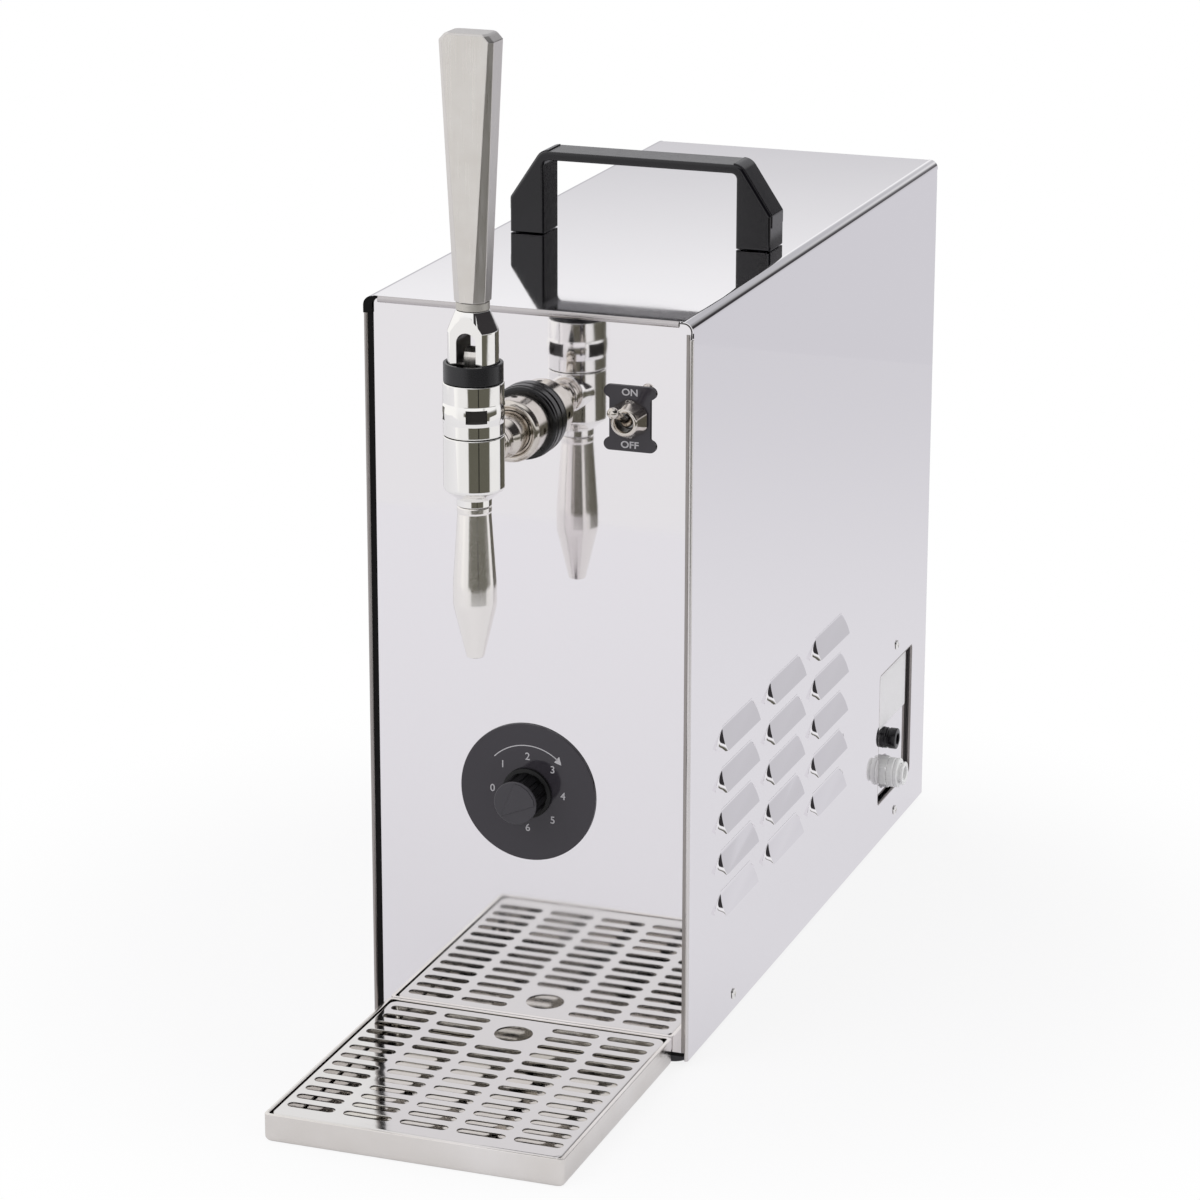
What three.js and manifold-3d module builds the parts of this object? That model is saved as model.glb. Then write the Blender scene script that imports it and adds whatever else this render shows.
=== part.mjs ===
// One-tap counter-top cooler: a tall, narrow steel case with one tap, a drip tray and a carrying handle.
// Millimetres. X runs to the right, Y from the front to the rear, Z up. The case is built with its front
// edge at Y zero, on the middle plane X zero, and standing on Z zero. At the end the whole unit is moved
// so that its origin is the middle of its bounding box, at the bottom.

import * as THREE from 'three';
import { mergeVertices } from 'three/addons/utils/BufferGeometryUtils.js';
import { ConvexGeometry } from 'three/addons/geometries/ConvexGeometry.js';
import Module from 'manifold-3d';

const wasm = await Module();
wasm.setup();

// Clearances shared by all pieces
const gap = 0.3; // between two pieces that touch on the real object
const over = 1; // how far a cutting tool runs past what it cuts

// Case
const caseWidth = 175;
const caseDepth = 440;
const caseHeight = 390;
const caseLift = 3; // lower edge of the side sheets above the counter
const sheet = 1.2;
const bendRadius = 5;
const hemWidth = 4.5;
const panelDrop = 4; // front panel's lower edge above the side sheets' lower edge

// Louvres, the same on both sides
const louvreColumns = 3;
const louvreRows = 5;
const louvreBetween = 8.5; // between two columns
const louvreHeight = 12;
const louvreDepth = 4.8;
const louvreTaper = 9.5;
const louvreCornerIn = 12;
const louvrePitchZ = 22.7;
const louvreFirstY = 40;
const louvreToWindow = 69; // last column's end in front of the window
const louvreBelowShelf = 18;

// Window in the right side, and the connection plate behind it
const windowFromRear = 98; // window's front edge in front of the case's rear edge
const windowLength = 68;
const windowBottom = 26.5;
const windowHeight = 80.5;
const windowCorner = 3;
const plateRecess = 4;
const plateMargin = 10; // plate's front edge in front of the window
const plateRearMargin = 2;
const plateRise = 1.5; // plate's lower edge above the window's lower edge
const tabHeight = 12;

// Side screws
const screwHeadRadius = 3.4;
const screwHeadHeight = 1.8;
const screwRadius = 1.5;
const screwLength = 6;
const screwHeight = 12;
const screwFrontY = 75;
const screwFromRear = 61;
const screwWindowGap = 9;

// Base, shelf, feet and rear panel
const footHeight = 8;
const footRadius = 9.5;
const footChamfer = 1.5;
const footSideInset = 11.5;
const footEndInset = 13;
const baseFlange = 14;
const shelfHeight = 186;
const shelfFlange = 10;
const shelfFront = 20;
const shelfRearGap = 8; // between the shelf and the case's rear edge
const grilleRows = 7;
const grilleColumns = 2;
const grilleLength = 56;
const grilleSlot = 5;
const grillePitch = 14;
const grilleFirstZ = 70;
const grilleRib = 14;

// Carrying handle
const handleFrontY = 166;
const handleDepth = 23;
const handleHalf = 73;
const handleFootLength = 19;
const handleHeight = 44.7;
const handleShoulder = 18.5;
const handleSlope = 17.5; // shoulder's run towards the middle
const handleBar = 4.7;
const handleInnerRadius = 3;
const handleEdge = 1.5;
const capDepth = 18;
const capWall = 1.5;
const capTopReach = 3.5;
const capBottom = 12;
const boltRadius = 2.5;
const boltLength = 12;
const boltHeadRadius = 4.5;
const boltHeadHeight = 3;

// Drip tray and its grid
const trayWidth = 158;
const trayLength = 160;
const trayHeight = 15;
const traySheet = 1;
const trayCorner = 2.5;
const trayBend = 3;
const gridMargin = 1.2; // between the grid and the tray's walls
const gridCorner = 5;
const gridSunk = 0.4; // grid's top below the tray's rim
const slotColumns = 5;
const slotRows = 13;
const slotLength = 25.4;
const slotWidth = 6;
const slotPitchX = 30.1;
const slotPitchY = 11;
const slotSteps = 3; // facets round each end of a slot
const slotFirstY = 10.4; // first row's middle, in front of the case's edge
const fingerHoleRadius = 10;
const fingerHoleRows = 3; // rows that the finger hole replaces in the middle column

// Tap
const tapReach = 70; // tap's axis in front of the case
const shankBelowTop = 57; // shank's axis below the case's top
const bodyRadius = 15;
const bodyAbove = 10.4; // body's top above the shank's axis
const bodyBelow = 16.2; // start of the lower cone below the shank's axis
const bodyCone = 5.1;
const bodyBore = 9;
const bodyFloor = 3.2; // valve seat above the start of the cone
const neckRadius = 8.6;
const neckHeight = 3.4;
const outletRadius = 4.5;
const socketRadius = 9.5;
const socketReach = 17;
const shankNeckRadius = 8;
const shankNeckEnd = 38; // the neck ends this far in front of the case
const shankBarrelRadius = 10.8;
const shankTaper = 3;
const shankBore = 4;
const shankTail = 28.5; // shank's inner end behind the front panel's face
const nutRadius = 16;
const nutLength = 17;
const nutChamfer = 1.5;
const spannerHoleRadius = 1.6;
const spannerHoleDepth = 3;
const ringRadius = 19;
const ringThickness = 8.2;
const ringEdge = 1;
const locknutFlats = 28;
const locknutThickness = 8;
const bonnetHeight = 26.2;
const bonnetBandStart = 6.3;
const bonnetBandHeight = 9.4;
const bonnetBandRaise = 0.5;
const notchCount = 4;
const notchWidth = 16;
const notchDepth = 1.6;
const notchHeight = 6.5;
const notchTurn = 27; // degrees, first notch from straight ahead towards the right
const collarRadius = 14.6;
const collarHeight = 9.3;
const collarWall = 1.7;
const collarFloor = 2;
const pinBelowRim = 1.5; // lever pin's axis below the collar's rim
const pinRadius = 2;
const yokeRadius = 12.5;
const yokeBelowPin = 4.5;
const yokeLowChamfer = 3;
const yokeShoulder = 17.3; // above the pin
const yokeTop = 27.2; // above the pin
const yokeTopRadius = 8.25;
const yokeFlat = 9.4; // flat face's distance from the axis
const forkSlot = 10;
const studRadius = 4;
const studLength = 20;
const ferruleRadius = 8.2;
const ferruleHeight = 3.8;
const paddleLength = 129;
const paddleTopWidth = 28;
const paddleTopDepth = 16;
const paddleTopEdge = 2;
const paddleBaseWidth = 16;
const paddleBaseDepth = 17;
const paddleBaseEdge = 4.3;
const paddleCorner = 3.6;
const paddleCrown = 1.2;
const valveRadius = 4;
const valveBlade = 6;
const valveBladeDepth = 9;
const valveAbovePin = 9.2;
const valveTipRadius = 2.2;
const sealRadius = 7;
const sealThickness = 4;
const spoutTopRadius = 8.5;
const spoutWideRadius = 10.8;
const spoutTipRadius = 4.4;
const spoutUpper = 40;
const spoutMiddle = 10.3;
const spoutLower = 26.7;
const spoutTopBore = 5.8;
const spoutTipBore = 3.1;
const spoutBoreDepth = 12;
const discRadius = 5.5;
const discThickness = 2;
const discHoles = 5;
const discHoleRadius = 0.5;
const discHoleCircle = 2.6;

// Cooler control
const dialBelowShelf = 46.5; // dial's middle below the shelf
const dialRadius = 36.8;
const dialThickness = 1;
const knobRadius = 11.5;
const knobLength = 18;
const knobFlangeRadius = 13.3;
const knobFlange = 2.5;
const knobRibs = 12;
const knobRibDepth = 0.6;
const knobBoreDepth = 13;
const knobRestAngle = 225; // degrees, from the right, anticlockwise as seen from the front
const pointerRaise = 0.5;
const pointerWidth = 11;
const pointerInset = 0.8;
const stemRadius = 3;
const bushRadius = 5;
const thermostatWidth = 40;
const thermostatHeight = 28;
const thermostatDepth = 30;

// Gas control
const toggleX = 54.7;
const toggleBelowTop = 51.2;
const togglePlateWidth = 27.6;
const togglePlateHeight = 33.4;
const togglePlateWaist = 21.7;
const togglePlateEar = 6.4;
const togglePlateThickness = 0.8;
const toggleNutFlats = 17.5;
const toggleNutBase = 10;
const toggleNutMouth = 6.2;
const toggleNutLength = 9;
const toggleBore = 4.75;
const togglePivotDepth = 5.5; // pivot behind the nut's mouth
const toggleBallRadius = 3.2;
const toggleStemRadius = 1.8;
const toggleTipRadius = 2.9;
const toggleLength = 22.6;
const toggleRestAngle = 23; // degrees above level
const gasBushRadius = 4.4;
const gasValveRadius = 9;
const gasValveLength = 28;
const gasPortLength = 5;
const gasPortRadius = 4.5;

// Cooling block and its insulation
const foamFront = 45;
const foamLength = 130;
const foamWidth = 160;
const foamHeadroom = 27; // insulation's top below the case's top
const foamWall = 18;
const lineHoleGap = 0.8;
const lineInRise = 42.5; // beverage line's entry above the shelf

// Lines
const beverageLineRadius = 4;
const gasLineRadius = 3;
const gasLineBelowTop = 13;
const refrigerantLineRadius = 3;

// Fittings behind the window
const inletFromWindow = 20; // fittings' axes behind the window's front edge
const beverageInletZ = 42;
const gasInletZ = 63;
const inletRadius = 8.7;
const inletReach = 12;
const hexLength = 5;
const inletTailRadius = 6;
const inletTail = 18;
const inletBore = 3.2;
const colletRadius = 5.4;
const colletBore = 4.1;
const colletHeadRadius = 6.9;
const colletHead = 1.6;
const colletDepth = 6;
const colletTravel = 1.2;
const gasInletRadius = 6.2;
const gasInletReach = 10;
const gasInletTailRadius = 4.5;
const gasInletTail = 14;
const gasInletBore = 2.2;
const gasSocketRadius = 3.2;
const gasSocketDepth = 5;

// Refrigeration in the lower chamber
const compressorX = -8;
const compressorFromRear = 110;
const compressorHalfWidth = 50;
const compressorHalfDepth = 42;
const compressorHeadroom = 28.2; // below the shelf's flanges
const compressorFoot = 2;
const compressorFootWidth = 112;
const compressorFootDepth = 96;
const portRadius = 3.5;
const portLength = 8;
const portOffset = 20;
const fanFrameX = 18;
const fanHeadroom = 16.2; // below the shelf's flanges
const fanFrameDepth = 24;
const fanRim = 11;
const fanPlate = 3;
const fanStrutWidth = 10;
const fanBossRadius = 18;
const fanMotorRadius = 20;
const fanMotorLength = 30;
const fanShaftRadius = 3;
const fanHubRadius = 17;
const fanHubLength = 14;
const fanBlades = 5;
const fanTipGap = 4;
const fanBladeThickness = 2;
const fanBladeWidth = 26;
const fanBladePitch = 28; // degrees
const condenserDepth = 32;
const condenserFront = 75;
const condenserRearGap = 47; // between the condenser and the compressor's foot
const finPitch = 12;
const finGroove = 6;
const finGrooveDepth = 10;

// Electrics
const terminalX = -50;
const terminalFromRear = 31;
const terminalWidth = 56;
const terminalDepth = 30;
const terminalHeight = 34;
const terminalEdge = 3;
const glandX = -52;
const glandZ = 34;
const glandRadius = 9;
const glandReach = 8;
const glandTail = 5;
const glandTailRadius = 6.5;
const glandBore = 3.5;

// Facets on round pieces
const fine = 28;
const medium = 18;
const coarse = 12;

// Places that follow from the sizes above
const half = caseWidth / 2;
const caseTop = caseLift + caseHeight;
const shankHeight = caseTop - shankBelowTop;
const toggleHeight = caseTop - toggleBelowTop;
const foamTop = caseTop - foamHeadroom;
const wallIn = half - sheet; // inner face of a side sheet
const panelFace = sheet + gap; // front panel's outer face
const panelBack = panelFace + sheet;
const rearFace = caseDepth - sheet - gap;
const windowFront = caseDepth - windowFromRear;
const louvrePitchY = (windowFront - louvreToWindow - louvreFirstY + louvreBetween) / louvreColumns;
const louvreLength = louvrePitchY - louvreBetween;
const louvreTopZ = shelfHeight - louvreBelowShelf;
const screwRearY = caseDepth - screwFromRear;
const shelfLength = caseDepth - shelfFront - shelfRearGap;
const handleGripHalf = handleHalf - handleFootLength;
const handleTopHalf = handleHalf - handleSlope;
const dialHeight = shelfHeight - dialBelowShelf;
const inletY = windowFront + inletFromWindow;
const baseZ = footHeight + gap;
const floorZ = baseZ + sheet + gap;
const shelfZ = shelfHeight + sheet + gap;
const lineInHeight = shelfZ + lineInRise;
const chamberHeight = shelfHeight - shelfFlange - floorZ; // from the base to the shelf's flanges
const fanFrameSize = chamberHeight - fanHeadroom;
const fanHoleRadius = fanFrameSize / 2 - fanRim;
const fanBladeReach = fanHoleRadius - fanTipGap;
const compressorY = caseDepth - compressorFromRear;
const compressorHeight = chamberHeight - compressorHeadroom;
const condenserHeight = fanFrameSize;
const condenserLength = compressorY - compressorFootDepth / 2 - condenserRearGap - condenserFront;
const fanY = condenserFront + condenserLength / 2;
const terminalY = caseDepth - terminalFromRear;
const bodyTop = shankHeight + bodyAbove;
const coneTop = shankHeight - bodyBelow;
const coneBottom = coneTop - bodyCone;
const neckBottom = coneBottom - neckHeight;
const bonnetZ = bodyTop + gap;
const collarZ = bonnetZ + bonnetHeight + gap;
const collarTop = collarZ + collarHeight;
const pinZ = collarTop - pinBelowRim;
const ferruleZ = pinZ + yokeTop + gap;
const paddleZ = ferruleZ + ferruleHeight + gap;
const seatZ = coneTop + bodyFloor;
const spoutTop = neckBottom - gap;
const nutBack = ringThickness + gap - panelFace + gap; // nut's rear face in front of the case
const connectionX = half - plateRecess; // connection plate's outer face
const togglePivotY = panelFace - gap - togglePlateThickness - gap - toggleNutLength + togglePivotDepth;

// Materials
function paint(color, roughness, metalness) {
  return new THREE.MeshStandardMaterial({ color, roughness, metalness, flatShading: true });
}

const mirrorSteel = paint(0xdcdbde, 0.06, 1);
const polishedSteel = paint(0xd6d3cd, 0.12, 1);
const brushedSteel = paint(0xc2beb6, 0.35, 1);
const galvanised = paint(0xa6a9ab, 0.5, 0.9);
const blackPlastic = paint(0x232427, 0.45, 0);
const darkFace = paint(0x434247, 0.25, 0);
const blackRubber = paint(0x17181a, 0.7, 0);
const whitePlastic = paint(0xe9eaea, 0.4, 0);
const blackEnamel = paint(0x1b1c1e, 0.3, 0.2);
const castAluminium = paint(0xb4b7ba, 0.45, 0.95);
const copper = paint(0xb87349, 0.3, 1);
const foam = paint(0xe8e2cf, 0.9, 0);
const clearTube = paint(0xdfe3e4, 0.3, 0);

// Solids: every helper returns a closed solid that can be joined and cut
function solid(geometry) {
  const plain = geometry.clone();
  plain.deleteAttribute('normal');
  plain.deleteAttribute('uv');
  const merged = mergeVertices(plain);
  const points = merged.attributes.position.array;
  const corners = merged.index.array;
  const triangles = [];
  let volume = 0;
  const a = new THREE.Vector3();
  const b = new THREE.Vector3();
  const c = new THREE.Vector3();
  for (let i = 0; i < corners.length; i += 3) {
    const [p, q, r] = [corners[i], corners[i + 1], corners[i + 2]];
    if (p === q || q === r || r === p) continue;
    triangles.push(p, q, r);
    a.fromArray(points, 3 * p);
    b.fromArray(points, 3 * q);
    c.fromArray(points, 3 * r);
    volume += a.dot(b.cross(c));
  }
  if (volume < 0) triangles.reverse();
  return new wasm.Manifold(new wasm.Mesh({
    numProp: 3,
    vertProperties: new Float32Array(points),
    triVerts: new Uint32Array(triangles),
  }));
}

function block(xRange, yRange, zRange) {
  const size = [xRange, yRange, zRange].map(([low, high]) => high - low);
  const middle = [xRange, yRange, zRange].map(([low, high]) => (low + high) / 2);
  return solid(new THREE.BoxGeometry(...size).translate(...middle));
}

// A turned piece: profile points are [radius, height], from the axis or closed on itself
function turned(profile, facets) {
  const points = profile.map(([r, z]) => new THREE.Vector2(r, z));
  return solid(new THREE.LatheGeometry(points, facets).rotateX(Math.PI / 2));
}

function disc(radius, low, high, facets = medium) {
  return turned([[0, low], [radius, low], [radius, high], [0, high]], facets);
}

function alongX(piece, x, y, z) {
  return piece.rotate([0, 90, 0]).translate([x, y, z]);
}

function alongY(piece, x, y, z) {
  return piece.rotate([-90, 0, 0]).translate([x, y, z]);
}

function outline(points) {
  return new THREE.Shape(points.map(([x, y]) => new THREE.Vector2(x, y)));
}

// A flat outline in X and Z, given its thickness along Y
function upright(shape, front, rear, curveSegments = 2) {
  const settings = { depth: rear - front, bevelEnabled: false, curveSegments };
  return solid(new THREE.ExtrudeGeometry(shape, settings).rotateX(Math.PI / 2).translate(0, rear, 0));
}

// A flat outline in X and Y, given its thickness along Z
function flat(shape, low, high, curveSegments = 2) {
  const settings = { depth: high - low, bevelEnabled: false, curveSegments };
  return solid(new THREE.ExtrudeGeometry(shape, settings).translate(0, 0, low));
}

function hull(points) {
  return solid(new ConvexGeometry(points.map(([x, y, z]) => new THREE.Vector3(x, y, z))));
}

function join(pieces) {
  return pieces.reduce((sum, piece) => sum.add(piece));
}

function hexagon(flats) {
  const corner = flats / Math.sqrt(3);
  return outline([0, 1, 2, 3, 4, 5].map((i) => {
    const angle = i * Math.PI / 3;
    return [corner * Math.cos(angle), corner * Math.sin(angle)];
  }));
}

function roundedRectangle(width, height, radius) {
  const shape = new THREE.Shape();
  const x = width / 2;
  const y = height / 2;
  shape.absarc(x - radius, y - radius, radius, 0, Math.PI / 2);
  shape.absarc(radius - x, y - radius, radius, Math.PI / 2, Math.PI);
  shape.absarc(radius - x, radius - y, radius, Math.PI, 1.5 * Math.PI);
  shape.absarc(x - radius, radius - y, radius, 1.5 * Math.PI, 2 * Math.PI);
  return shape;
}

// A line, pipe or hose through the given points, its corners rounded
function tube(points, radius, bend, facets = 8) {
  const path = new THREE.CurvePath();
  const places = points.map((p) => new THREE.Vector3(...p));
  let start = places[0];
  for (let i = 1; i < places.length - 1; i += 1) {
    const before = places[i].clone().sub(places[i - 1]).setLength(bend);
    const after = places[i + 1].clone().sub(places[i]).setLength(bend);
    const enter = places[i].clone().sub(before);
    const leave = places[i].clone().add(after);
    path.add(new THREE.LineCurve3(start, enter));
    path.add(new THREE.QuadraticBezierCurve3(enter, places[i], leave));
    start = leave;
  }
  path.add(new THREE.LineCurve3(start, places[places.length - 1]));
  const section = new THREE.Shape();
  section.absarc(0, 0, radius, 0, 2 * Math.PI);
  const steps = Math.ceil(path.getLength() / (5 * radius));
  const settings = { extrudePath: path, steps, bevelEnabled: false, curveSegments: facets / 2 };
  return solid(new THREE.ExtrudeGeometry(section, settings));
}

const unit = new THREE.Group();

function place(name, piece, material) {
  const result = piece.getMesh();
  const geometry = new THREE.BufferGeometry();
  geometry.setAttribute('position', new THREE.BufferAttribute(result.vertProperties, 3));
  geometry.setIndex(new THREE.BufferAttribute(result.triVerts, 1));
  geometry.computeVertexNormals();
  const mesh = new THREE.Mesh(geometry, material);
  mesh.name = name;
  unit.add(mesh);
}

// Screws through the side sheets: [side, y, z], side 1 is right and -1 is left
const windowTop = windowBottom + windowHeight;
const sideScrews = {
  side_screw_right_front: [1, screwFrontY, screwHeight],
  side_screw_right_rear: [1, screwRearY, screwHeight],
  side_screw_right_window: [1, windowFront + windowLength / 2, windowTop + screwWindowGap],
  side_screw_left_front: [-1, screwFrontY, screwHeight],
  side_screw_left_rear: [-1, screwRearY, screwHeight],
};

function screwHoles() {
  return Object.values(sideScrews).map(([side, y, z]) => {
    const reach = half + over;
    return alongX(disc(screwRadius + gap, side < 0 ? -reach : 0, side < 0 ? 0 : reach, coarse), 0, y, z);
  });
}

// Wrap cover: the top and both sides in one bent sheet, with narrow hems at the front and rear
function wrapOutline(wall) {
  const shape = new THREE.Shape();
  const inner = Math.max(bendRadius - wall, 0);
  shape.moveTo(-half, caseLift);
  shape.absarc(bendRadius - half, caseTop - bendRadius, bendRadius, Math.PI, Math.PI / 2, true);
  shape.absarc(half - bendRadius, caseTop - bendRadius, bendRadius, Math.PI / 2, 0, true);
  shape.lineTo(half, caseLift);
  shape.lineTo(half - wall, caseLift);
  if (inner > 0) {
    shape.absarc(half - wall - inner, caseTop - wall - inner, inner, 0, Math.PI / 2, false);
    shape.absarc(wall + inner - half, caseTop - wall - inner, inner, Math.PI / 2, Math.PI, false);
  } else {
    shape.lineTo(half - wall, caseTop - wall);
    shape.lineTo(wall - half, caseTop - wall);
  }
  shape.lineTo(wall - half, caseLift);
  shape.closePath();
  return shape;
}

function louvre(side, y, z, sink) {
  // The shape pressed out of the sheet; with sink it is the hollow behind it
  const face = side * (half - sink);
  const back = side * (half - sheet - (sink > 0 ? over : 0));
  const lip = side * (half + louvreDepth - sink);
  const low = z - louvreHeight - (sink > 0 ? over / 2 : 0);
  const high = z - sink;
  const end = y + louvreLength;
  const root = [];
  for (const x of sink > 0 ? [back] : [back, face]) {
    root.push([x, y + sink, low], [x, end - sink, low]);
    root.push([x, y + louvreCornerIn, high], [x, end - louvreCornerIn, high]);
  }
  const edge = [[lip, y + louvreTaper + sink, low], [lip, end - louvreTaper - sink, low]];
  return hull([...root, ...edge]);
}

function louvres(sink) {
  const pieces = [];
  for (const side of [-1, 1]) {
    for (let column = 0; column < louvreColumns; column += 1) {
      for (let row = 0; row < louvreRows; row += 1) {
        const y = louvreFirstY + column * louvrePitchY;
        pieces.push(louvre(side, y, louvreTopZ - row * louvrePitchZ, sink));
      }
    }
  }
  return join(pieces);
}

function wrapCover() {
  const cover = join([
    upright(wrapOutline(sheet), 0, caseDepth),
    upright(wrapOutline(hemWidth), 0, sheet),
    upright(wrapOutline(hemWidth), caseDepth - sheet, caseDepth),
    louvres(0),
  ]);
  const opening = flat(roundedRectangle(windowHeight, windowLength, windowCorner), 0, 2 * sheet + over)
    .rotate([0, 90, 0])
    .translate([wallIn - over, windowFront + windowLength / 2, windowBottom + windowHeight / 2]);
  const boltHoles = [-1, 1].map((side) => disc(boltRadius + gap, caseTop - sheet - over, caseTop + over)
    .translate([side * boltX, handleFrontY + handleDepth / 2, 0]));
  return cover
    .subtract(louvres(sheet))
    .subtract(join([opening, ...boltHoles, ...screwHoles()]));
}

// Front panel: the mirror sheet that carries the tap and the controls. Its upper corners clear the bend
const panelHalf = wallIn - gap;
const panelBottom = caseLift + panelDrop;
const panelTop = caseTop - sheet - gap;
const panelCut = bendRadius - sheet;
const panelOutline = outline([
  [-panelHalf, panelBottom],
  [panelHalf, panelBottom],
  [panelHalf, panelTop - panelCut],
  [panelHalf - panelCut, panelTop],
  [panelCut - panelHalf, panelTop],
  [-panelHalf, panelTop - panelCut],
]);

function frontPanel() {
  const back = panelBack + over;
  return upright(panelOutline, panelFace, panelBack)
    .subtract(join([
      alongY(disc(shankBarrelRadius + gap, 0, back, medium), 0, 0, shankHeight),
      alongY(disc(bushRadius + gap, 0, back, coarse), 0, 0, dialHeight),
      alongY(disc(gasBushRadius + gap, 0, back, coarse), toggleX, 0, toggleHeight),
    ]));
}

// Rear panel: a plain sheet with two rows of ventilation slots and the hole for the power gland
function rearPanel() {
  const back = rearFace + over;
  const slots = [];
  for (let row = 0; row < grilleRows; row += 1) {
    for (let column = 0; column < grilleColumns; column += 1) {
      const x = (column - (grilleColumns - 1) / 2) * (grilleLength + grilleRib);
      const z = grilleFirstZ + row * grillePitch;
      slots.push(block(
        [x - grilleLength / 2, x + grilleLength / 2],
        [rearFace - sheet - over, back],
        [z - grilleSlot / 2, z + grilleSlot / 2],
      ));
    }
  }
  const bore = disc(glandTailRadius + gap, -sheet - over, over, coarse);
  const glandHole = alongY(bore, glandX, rearFace, glandZ);
  return upright(panelOutline, rearFace - sheet, rearFace)
    .subtract(join([...slots, glandHole]));
}

// Base plate and shelf: flat sheets with a flange along each side
const plateFront = panelBack + gap;
const plateRear = rearFace - sheet - gap;

function flangedPlate(front, rear, level, flangeEnd) {
  const low = Math.min(level, flangeEnd);
  const high = Math.max(level + sheet, flangeEnd);
  return join([
    block([-panelHalf, panelHalf], [front, rear], [level, level + sheet]),
    block([-panelHalf, sheet - panelHalf], [front, rear], [low, high]),
    block([panelHalf - sheet, panelHalf], [front, rear], [low, high]),
  ]);
}

function basePlate() {
  return flangedPlate(plateFront, plateRear, baseZ, baseZ + baseFlange).subtract(join(screwHoles()));
}

function midShelf() {
  const holes = [beverageRiseX, gasRiseX].map((x) => disc(
    (x === gasRiseX ? gasLineRadius : beverageLineRadius) + lineHoleGap,
    shelfHeight - over,
    shelfHeight + sheet + over,
    coarse,
  ).translate([x, inletY, 0]));
  return flangedPlate(shelfFront, shelfFront + shelfLength, shelfHeight, shelfHeight - shelfFlange)
    .subtract(join(holes));
}

function foot() {
  return turned([
    [0, 0],
    [footRadius - footChamfer, 0],
    [footRadius, footChamfer],
    [footRadius, footHeight],
    [0, footHeight],
  ], medium);
}

// Connection plate: behind the window, with a tab that reaches out to the side sheet above it
const tabLow = windowTop + screwWindowGap - tabHeight / 2;
const plateBottom = windowBottom + plateRise;

function connectionPlate() {
  const front = windowFront - plateMargin;
  const rear = windowFront + windowLength + plateRearMargin;
  const outer = connectionX;
  const tab = wallIn - gap;
  return join([
    block([outer - sheet, outer], [front, rear], [plateBottom, tabLow + sheet]),
    block([outer - sheet, tab], [front, rear], [tabLow, tabLow + sheet]),
    block([tab - sheet, tab], [front, rear], [tabLow, tabLow + tabHeight]),
  ]).subtract(join([
    alongX(disc(inletTailRadius + gap, -sheet - over, over, coarse), outer, inletY, beverageInletZ),
    alongX(disc(gasInletTailRadius + gap, -sheet - over, over, coarse), outer, inletY, gasInletZ),
    ...screwHoles(),
  ]));
}

function sideScrew(side, y, z) {
  const screw = turned([
    [0, -screwLength],
    [screwRadius, -screwLength],
    [screwRadius, gap],
    [screwHeadRadius, gap],
    [screwHeadRadius, gap + screwHeadHeight / 3],
    [screwHeadRadius * 0.7, gap + screwHeadHeight],
    [0, gap + screwHeadHeight],
  ], coarse);
  return screw.rotate([0, side * 90, 0]).translate([side * half, y, z]);
}

// Carrying handle: a bridge with sloping shoulders, a cover over each shoulder, and its bolts
const boltX = (handleHalf + handleGripHalf) / 2;
const handleOutline = [
  [-handleHalf, 0],
  [handleHalf, 0],
  [handleHalf, handleShoulder],
  [handleTopHalf, handleHeight],
  [-handleTopHalf, handleHeight],
  [-handleHalf, handleShoulder],
];

// Moves every side of a convex outline inwards by the same distance
function inset(points, distance) {
  const lines = points.map((p, i) => {
    const q = points[(i + 1) % points.length];
    const run = [q[0] - p[0], q[1] - p[1]];
    const length = Math.hypot(...run);
    const normal = [-run[1] / length, run[0] / length];
    return { normal, offset: normal[0] * p[0] + normal[1] * p[1] + distance };
  });
  return lines.map((line, i) => {
    const before = lines[(i + lines.length - 1) % lines.length];
    const cross = before.normal[0] * line.normal[1] - before.normal[1] * line.normal[0];
    return [
      (before.offset * line.normal[1] - line.offset * before.normal[1]) / cross,
      (line.offset * before.normal[0] - before.offset * line.normal[0]) / cross,
    ];
  });
}

const handleBase = caseTop + gap;
const handleRear = handleFrontY + handleDepth;

function handleBody() {
  // The first two corners are the feet, which stay on the case
  const narrowed = inset(handleOutline, handleEdge).map(([x, z], i) => [x, i < 2 ? 0 : z]);
  const edged = hull([
    ...handleOutline.map(([x, z]) => [x, handleFrontY + handleEdge, z]),
    ...handleOutline.map(([x, z]) => [x, handleRear - handleEdge, z]),
    ...narrowed.map(([x, z]) => [x, handleFrontY, z]),
    ...narrowed.map(([x, z]) => [x, handleRear, z]),
  ]);
  const grip = new THREE.Shape();
  const ceiling = handleHeight - handleBar;
  grip.moveTo(-handleGripHalf, -over);
  grip.lineTo(handleGripHalf, -over);
  const turn = handleInnerRadius;
  grip.absarc(handleGripHalf - turn, ceiling - turn, turn, 0, Math.PI / 2);
  grip.absarc(turn - handleGripHalf, ceiling - turn, turn, Math.PI / 2, Math.PI);
  const hollow = upright(grip, handleFrontY - over, handleRear + over);
  const bores = [-1, 1].map((side) => disc(boltRadius + gap, -over, boltLength + gap)
    .translate([side * boltX, handleFrontY + handleDepth / 2, 0]));
  return edged.subtract(join([hollow, ...bores, capSpace()])).translate([0, 0, handleBase]);
}

// The space over each shoulder that a cap fills, or with spare zero the cap itself
function shoulderShell(spare) {
  const middle = handleFrontY + handleDepth / 2;
  const width = capDepth / 2 + spare;
  const skin = spare > 0 ? over : 0;
  const outer = upright(outline(inset(handleOutline, -skin)), middle - width, middle + width);
  const core = outline(inset(handleOutline, capWall + spare));
  return outer.subtract(upright(core, middle - width - over, middle + width + over));
}

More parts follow.
